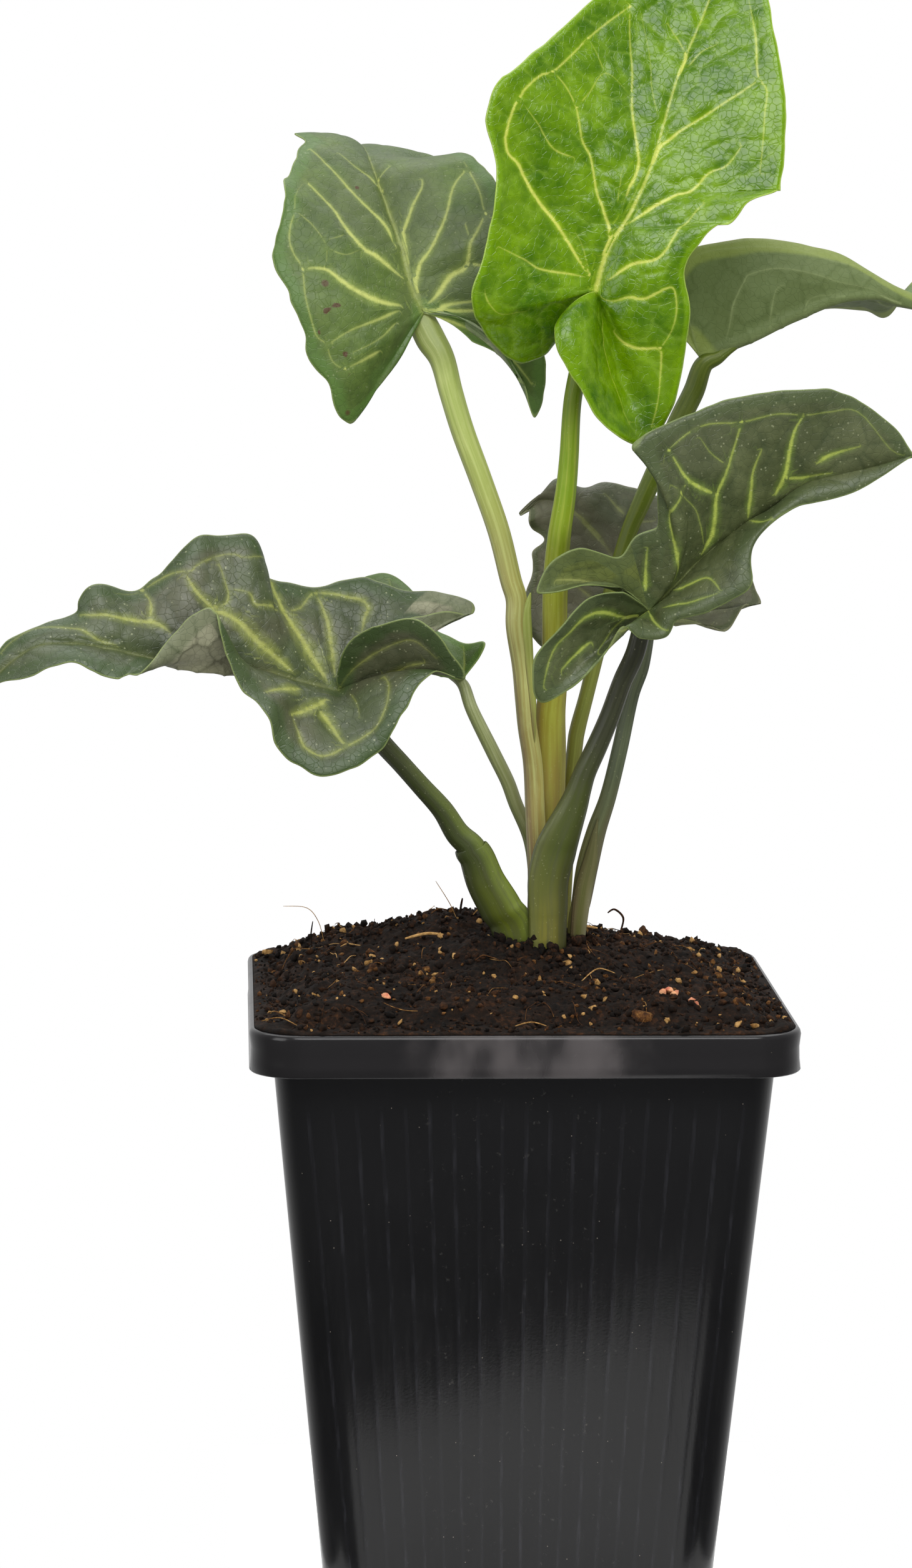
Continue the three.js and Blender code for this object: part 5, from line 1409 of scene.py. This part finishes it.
# The withering leaf at the back in the middle is grey-brown, spotted, and bitten at its margin.
make_leaf(
    "leaf_centre_rear",
    midrib="""
    23.5 13 162.5; 19.5 13 168.5; 15.5 13 175; 10.5 13 180; 5.5 13 182.5; 1 11 180""",
    ribs="""
    0 15 10 158 0 0 0 28 11 161 0 0 0;
    0 9 9 156 0 -1 0 33 9 161.5 0 0 0;
    0 5 8 157.5 0 -1 0 37 8 161 0 0 0;
    0 2 9 161.5 0 -1 0 39.5 10 164.5 0 -1 0;
    0 2 10 166.5 0 -1 0 42.5 11 164.5 0 -1 0;
    0 3 10 169.5 0 -1 0 41.5 13 168 0 -1 0;
    .08 3 10 172 0 -1 0 37.5 16 174 0 -1 0;
    .2 3 10 174 0 0 0 31.5 18 180.5 0 -1 0;
    .36 5 11 176 0 0 0 24.5 19 183 0 -1 0;
    .52 3 11 177.5 0 0 0 16.5 18 185.5 0 -1 0;
    .68 2.5 10 179 0 0 0 12 16 184.5 0 -1 0;
    .84 2.5 11 181 0 0 0 7 14 186 0 -1 0;
    1 1 11 180 0 0 0 1 11 180 0 0 0""",
    stalk="""
    10.5 1.2 92.5 1.2 1.3; 10.5 1.4 109.5 1.3 1.3; 11.5 1.5 115 1.65 1.4; 12.5 1.7 121 1.85 1.5;
    14 2 127 1.65 1.5; 16 2.4 133 1.4 1.4; 18 3.6 141 1.35 1.4; 20 6 149.5 1.3 1.4;
    22 8.5 155 1.35 1.4; 23.5 11.5 160 1.4 1.3; 23.5 13 162.5 1.2 1""",
    veins="""
    1.2 .5 .683 0 .742 0 .8 .05 .85 .22;
    1 .4 .688 .53 .713 .6 .746 .72;
    .8 .4 .658 .55 .629 .68;
    .9 .4 .412 -.48 .458 -.6 .471 -.7;
    1 .35 .12 -.02 .127 -.3 .134 -.59 .14 -.85;
    1 .35 .261 -.02 .271 -.3 .281 -.59 .29 -.85;
    .9 .35 .601 -.02 .617 -.3 .635 -.59 .65 -.85;
    1 .35 .12 .02 .127 .3 .134 .59 .14 .85;
    1 .35 .271 .02 .281 .3 .291 .59 .3 .85;
    .9 .35 .421 .02 .43 .3 .441 .59 .45 .85;
    .8 .3 .851 .02 .86 .3 .871 .59 .88 .85""",
    sheath="""
    14.1 .6 129.3 .1 .15; 13.5 .2 126.2 .6 .4; 12.8 -.1 121.9 1.25 .5; 11.8 -.3 117.7 1.5 .5;
    11.2 -.4 113.4 1.45 .5; 10.8 -.4 109.1 1.3 .5""",
    spine=(1.2, 0.4),
    colours=dict(
        deep="464c34", fresh="62644c", border="46502e", tired="706c5a", net="3c3a2a",
        vein="93985c", halo="6f7448", under="7f8068", under_deep="63644e", under_net="46463a",
        under_vein="9a9a7c", margin="8c8c6c", glow="5f701c",
    ),
    stalk_look=("5e5424 4e5230 424a34 646c4c 6c6830 54443a", 140, 104, 0.5),
    sheath_look=("4a4a1c 4a4c20 4a4a28 605c38 4a3a2c 6c6850", 128, 106, 0.5),
    net=3.4, quilt=0.26, border=1.5, vein_edge=0.55, spine_show=0.4, age=0.6, specks=0.3,
    scars=0.9, rough=0.5, shine=0.6, crimp=1.2, through=0.05, seed=17, rays=SMALL_RAYS,
    cells=SMALL_CELLS,
)

# ---- studio ----
# A white studio: a pale floor, a white surround, big soft lights overhead and to the sides, and a
# long lens a little above the plant.

FLOOR_CORNERS = [
    (-31, -100), (46, -165), (31, -50), (50, -46), (50, 80), (-48, 80), (-48, -46), (-27, -46),
]
FLOOR_GLOW = 0.5
WHITE = (1, 1, 1, 1)


def floor_finish():
    """Pale card that gives back a little more light than falls on it."""
    constants = {"Roughness": 0.9, "Emission Color": WHITE, "Emission Strength": FLOOR_GLOW}
    material, shader, place = new_finish("studio_floor", constants)
    place.noise(0.01, 2.0, 0.5).tint(paint("f4f4f3"), paint("f8f8f7")).feed(shader, "Base Color")
    return material


floor_mesh = bpy.data.meshes.new("studio_floor")
corners = [(x * MM, y * MM, 0) for x, y in FLOOR_CORNERS]
floor_mesh.from_pydata(corners, [], [range(len(corners))])
floor_mesh.materials.append(floor_finish())
floor = set_out("studio_floor", floor_mesh)


def soft_light(name, place, aim, size, power, mirrored=True):
    """A square light panel that faces its aim and stays out of the picture itself."""
    lamp = bpy.data.lights.new(name, "AREA")
    lamp.shape = "RECTANGLE"
    lamp.size, lamp.size_y = size
    lamp.energy = power
    panel = set_out(name, lamp)
    back = np.array(place) - np.array(aim)
    back /= np.linalg.norm(back)
    right = np.cross([0, 0, 1], back)
    right /= np.linalg.norm(right)
    sight = Matrix(np.column_stack([right, np.cross(back, right), back]).tolist())
    panel.matrix_world = Matrix.Translation(place) @ sight.to_4x4()
    panel.visible_camera = False
    panel.visible_glossy = mirrored


soft_light("light_overhead", (0.0, 0.42, 1.2), (0, 0, 0.15), (1.3, 1.0), 8.5)
soft_light("light_left", (-1.05, -0.7, 0.6), (0, 0, 0.15), (0.6, 0.9), 6)
soft_light("light_right", (1.15, -0.4, 0.75), (0, 0, 0.18), (0.6, 0.9), 5.5, mirrored=False)
soft_light("light_front", (0.03, -0.75, 1.05), (0, 0, 0.2), (0.85, 0.6), 11)
soft_light("light_fill", (0.3, -1.2, -0.05), (0, 0, 0.2), (1.2, 0.4), 9, mirrored=False)

# The surround looks white; its light on the plant comes from behind and above more than the front.
world = bpy.data.worlds.new("studio_surround")
world.use_nodes = True
surround = world.node_tree.nodes["Background"]
sky = Flow(world.node_tree)
heading = sky.node("TexCoord", give="Generated")
behind, above = heading.axis("Y").band(-0.2, 0.8), heading.axis("Z").band(-0.2, 0.9)
seen = sky.node("LightPath", give="Is Camera Ray")
lit = 0.17 + behind * 0.5 + above * 0.1
(seen + (1 - seen) * lit).feed(surround, "Strength")
surround.inputs["Color"].default_value = WHITE
bpy.context.scene.world = world
bpy.context.scene.view_settings.view_transform = "Standard"

LENS = 116.6
SEAT = (-0.048, -0.850, 0.2435)
TURN_RIGHT = math.radians(2.56)
TILT_DOWN = math.radians(7.25)
LEAN = math.radians(0.36)

turn = np.array([math.sin(TURN_RIGHT), math.cos(TURN_RIGHT), 0])
ahead = turn * math.cos(TILT_DOWN) + np.array([0, 0, -math.sin(TILT_DOWN)])
level = np.array([math.cos(TURN_RIGHT), -math.sin(TURN_RIGHT), 0])
upright = np.cross(level, ahead)
right = math.cos(LEAN) * level + math.sin(LEAN) * upright
top = math.cos(LEAN) * upright - math.sin(LEAN) * level
lens = bpy.data.cameras.new("studio_camera")
lens.lens = LENS
lens.sensor_width = 36
lens.clip_start = 0.05
camera = set_out("studio_camera", lens)
sight = Matrix(np.column_stack([right, top, -ahead]).tolist()).to_4x4()
camera.matrix_world = Matrix.Translation(SEAT) @ sight
bpy.context.scene.camera = camera
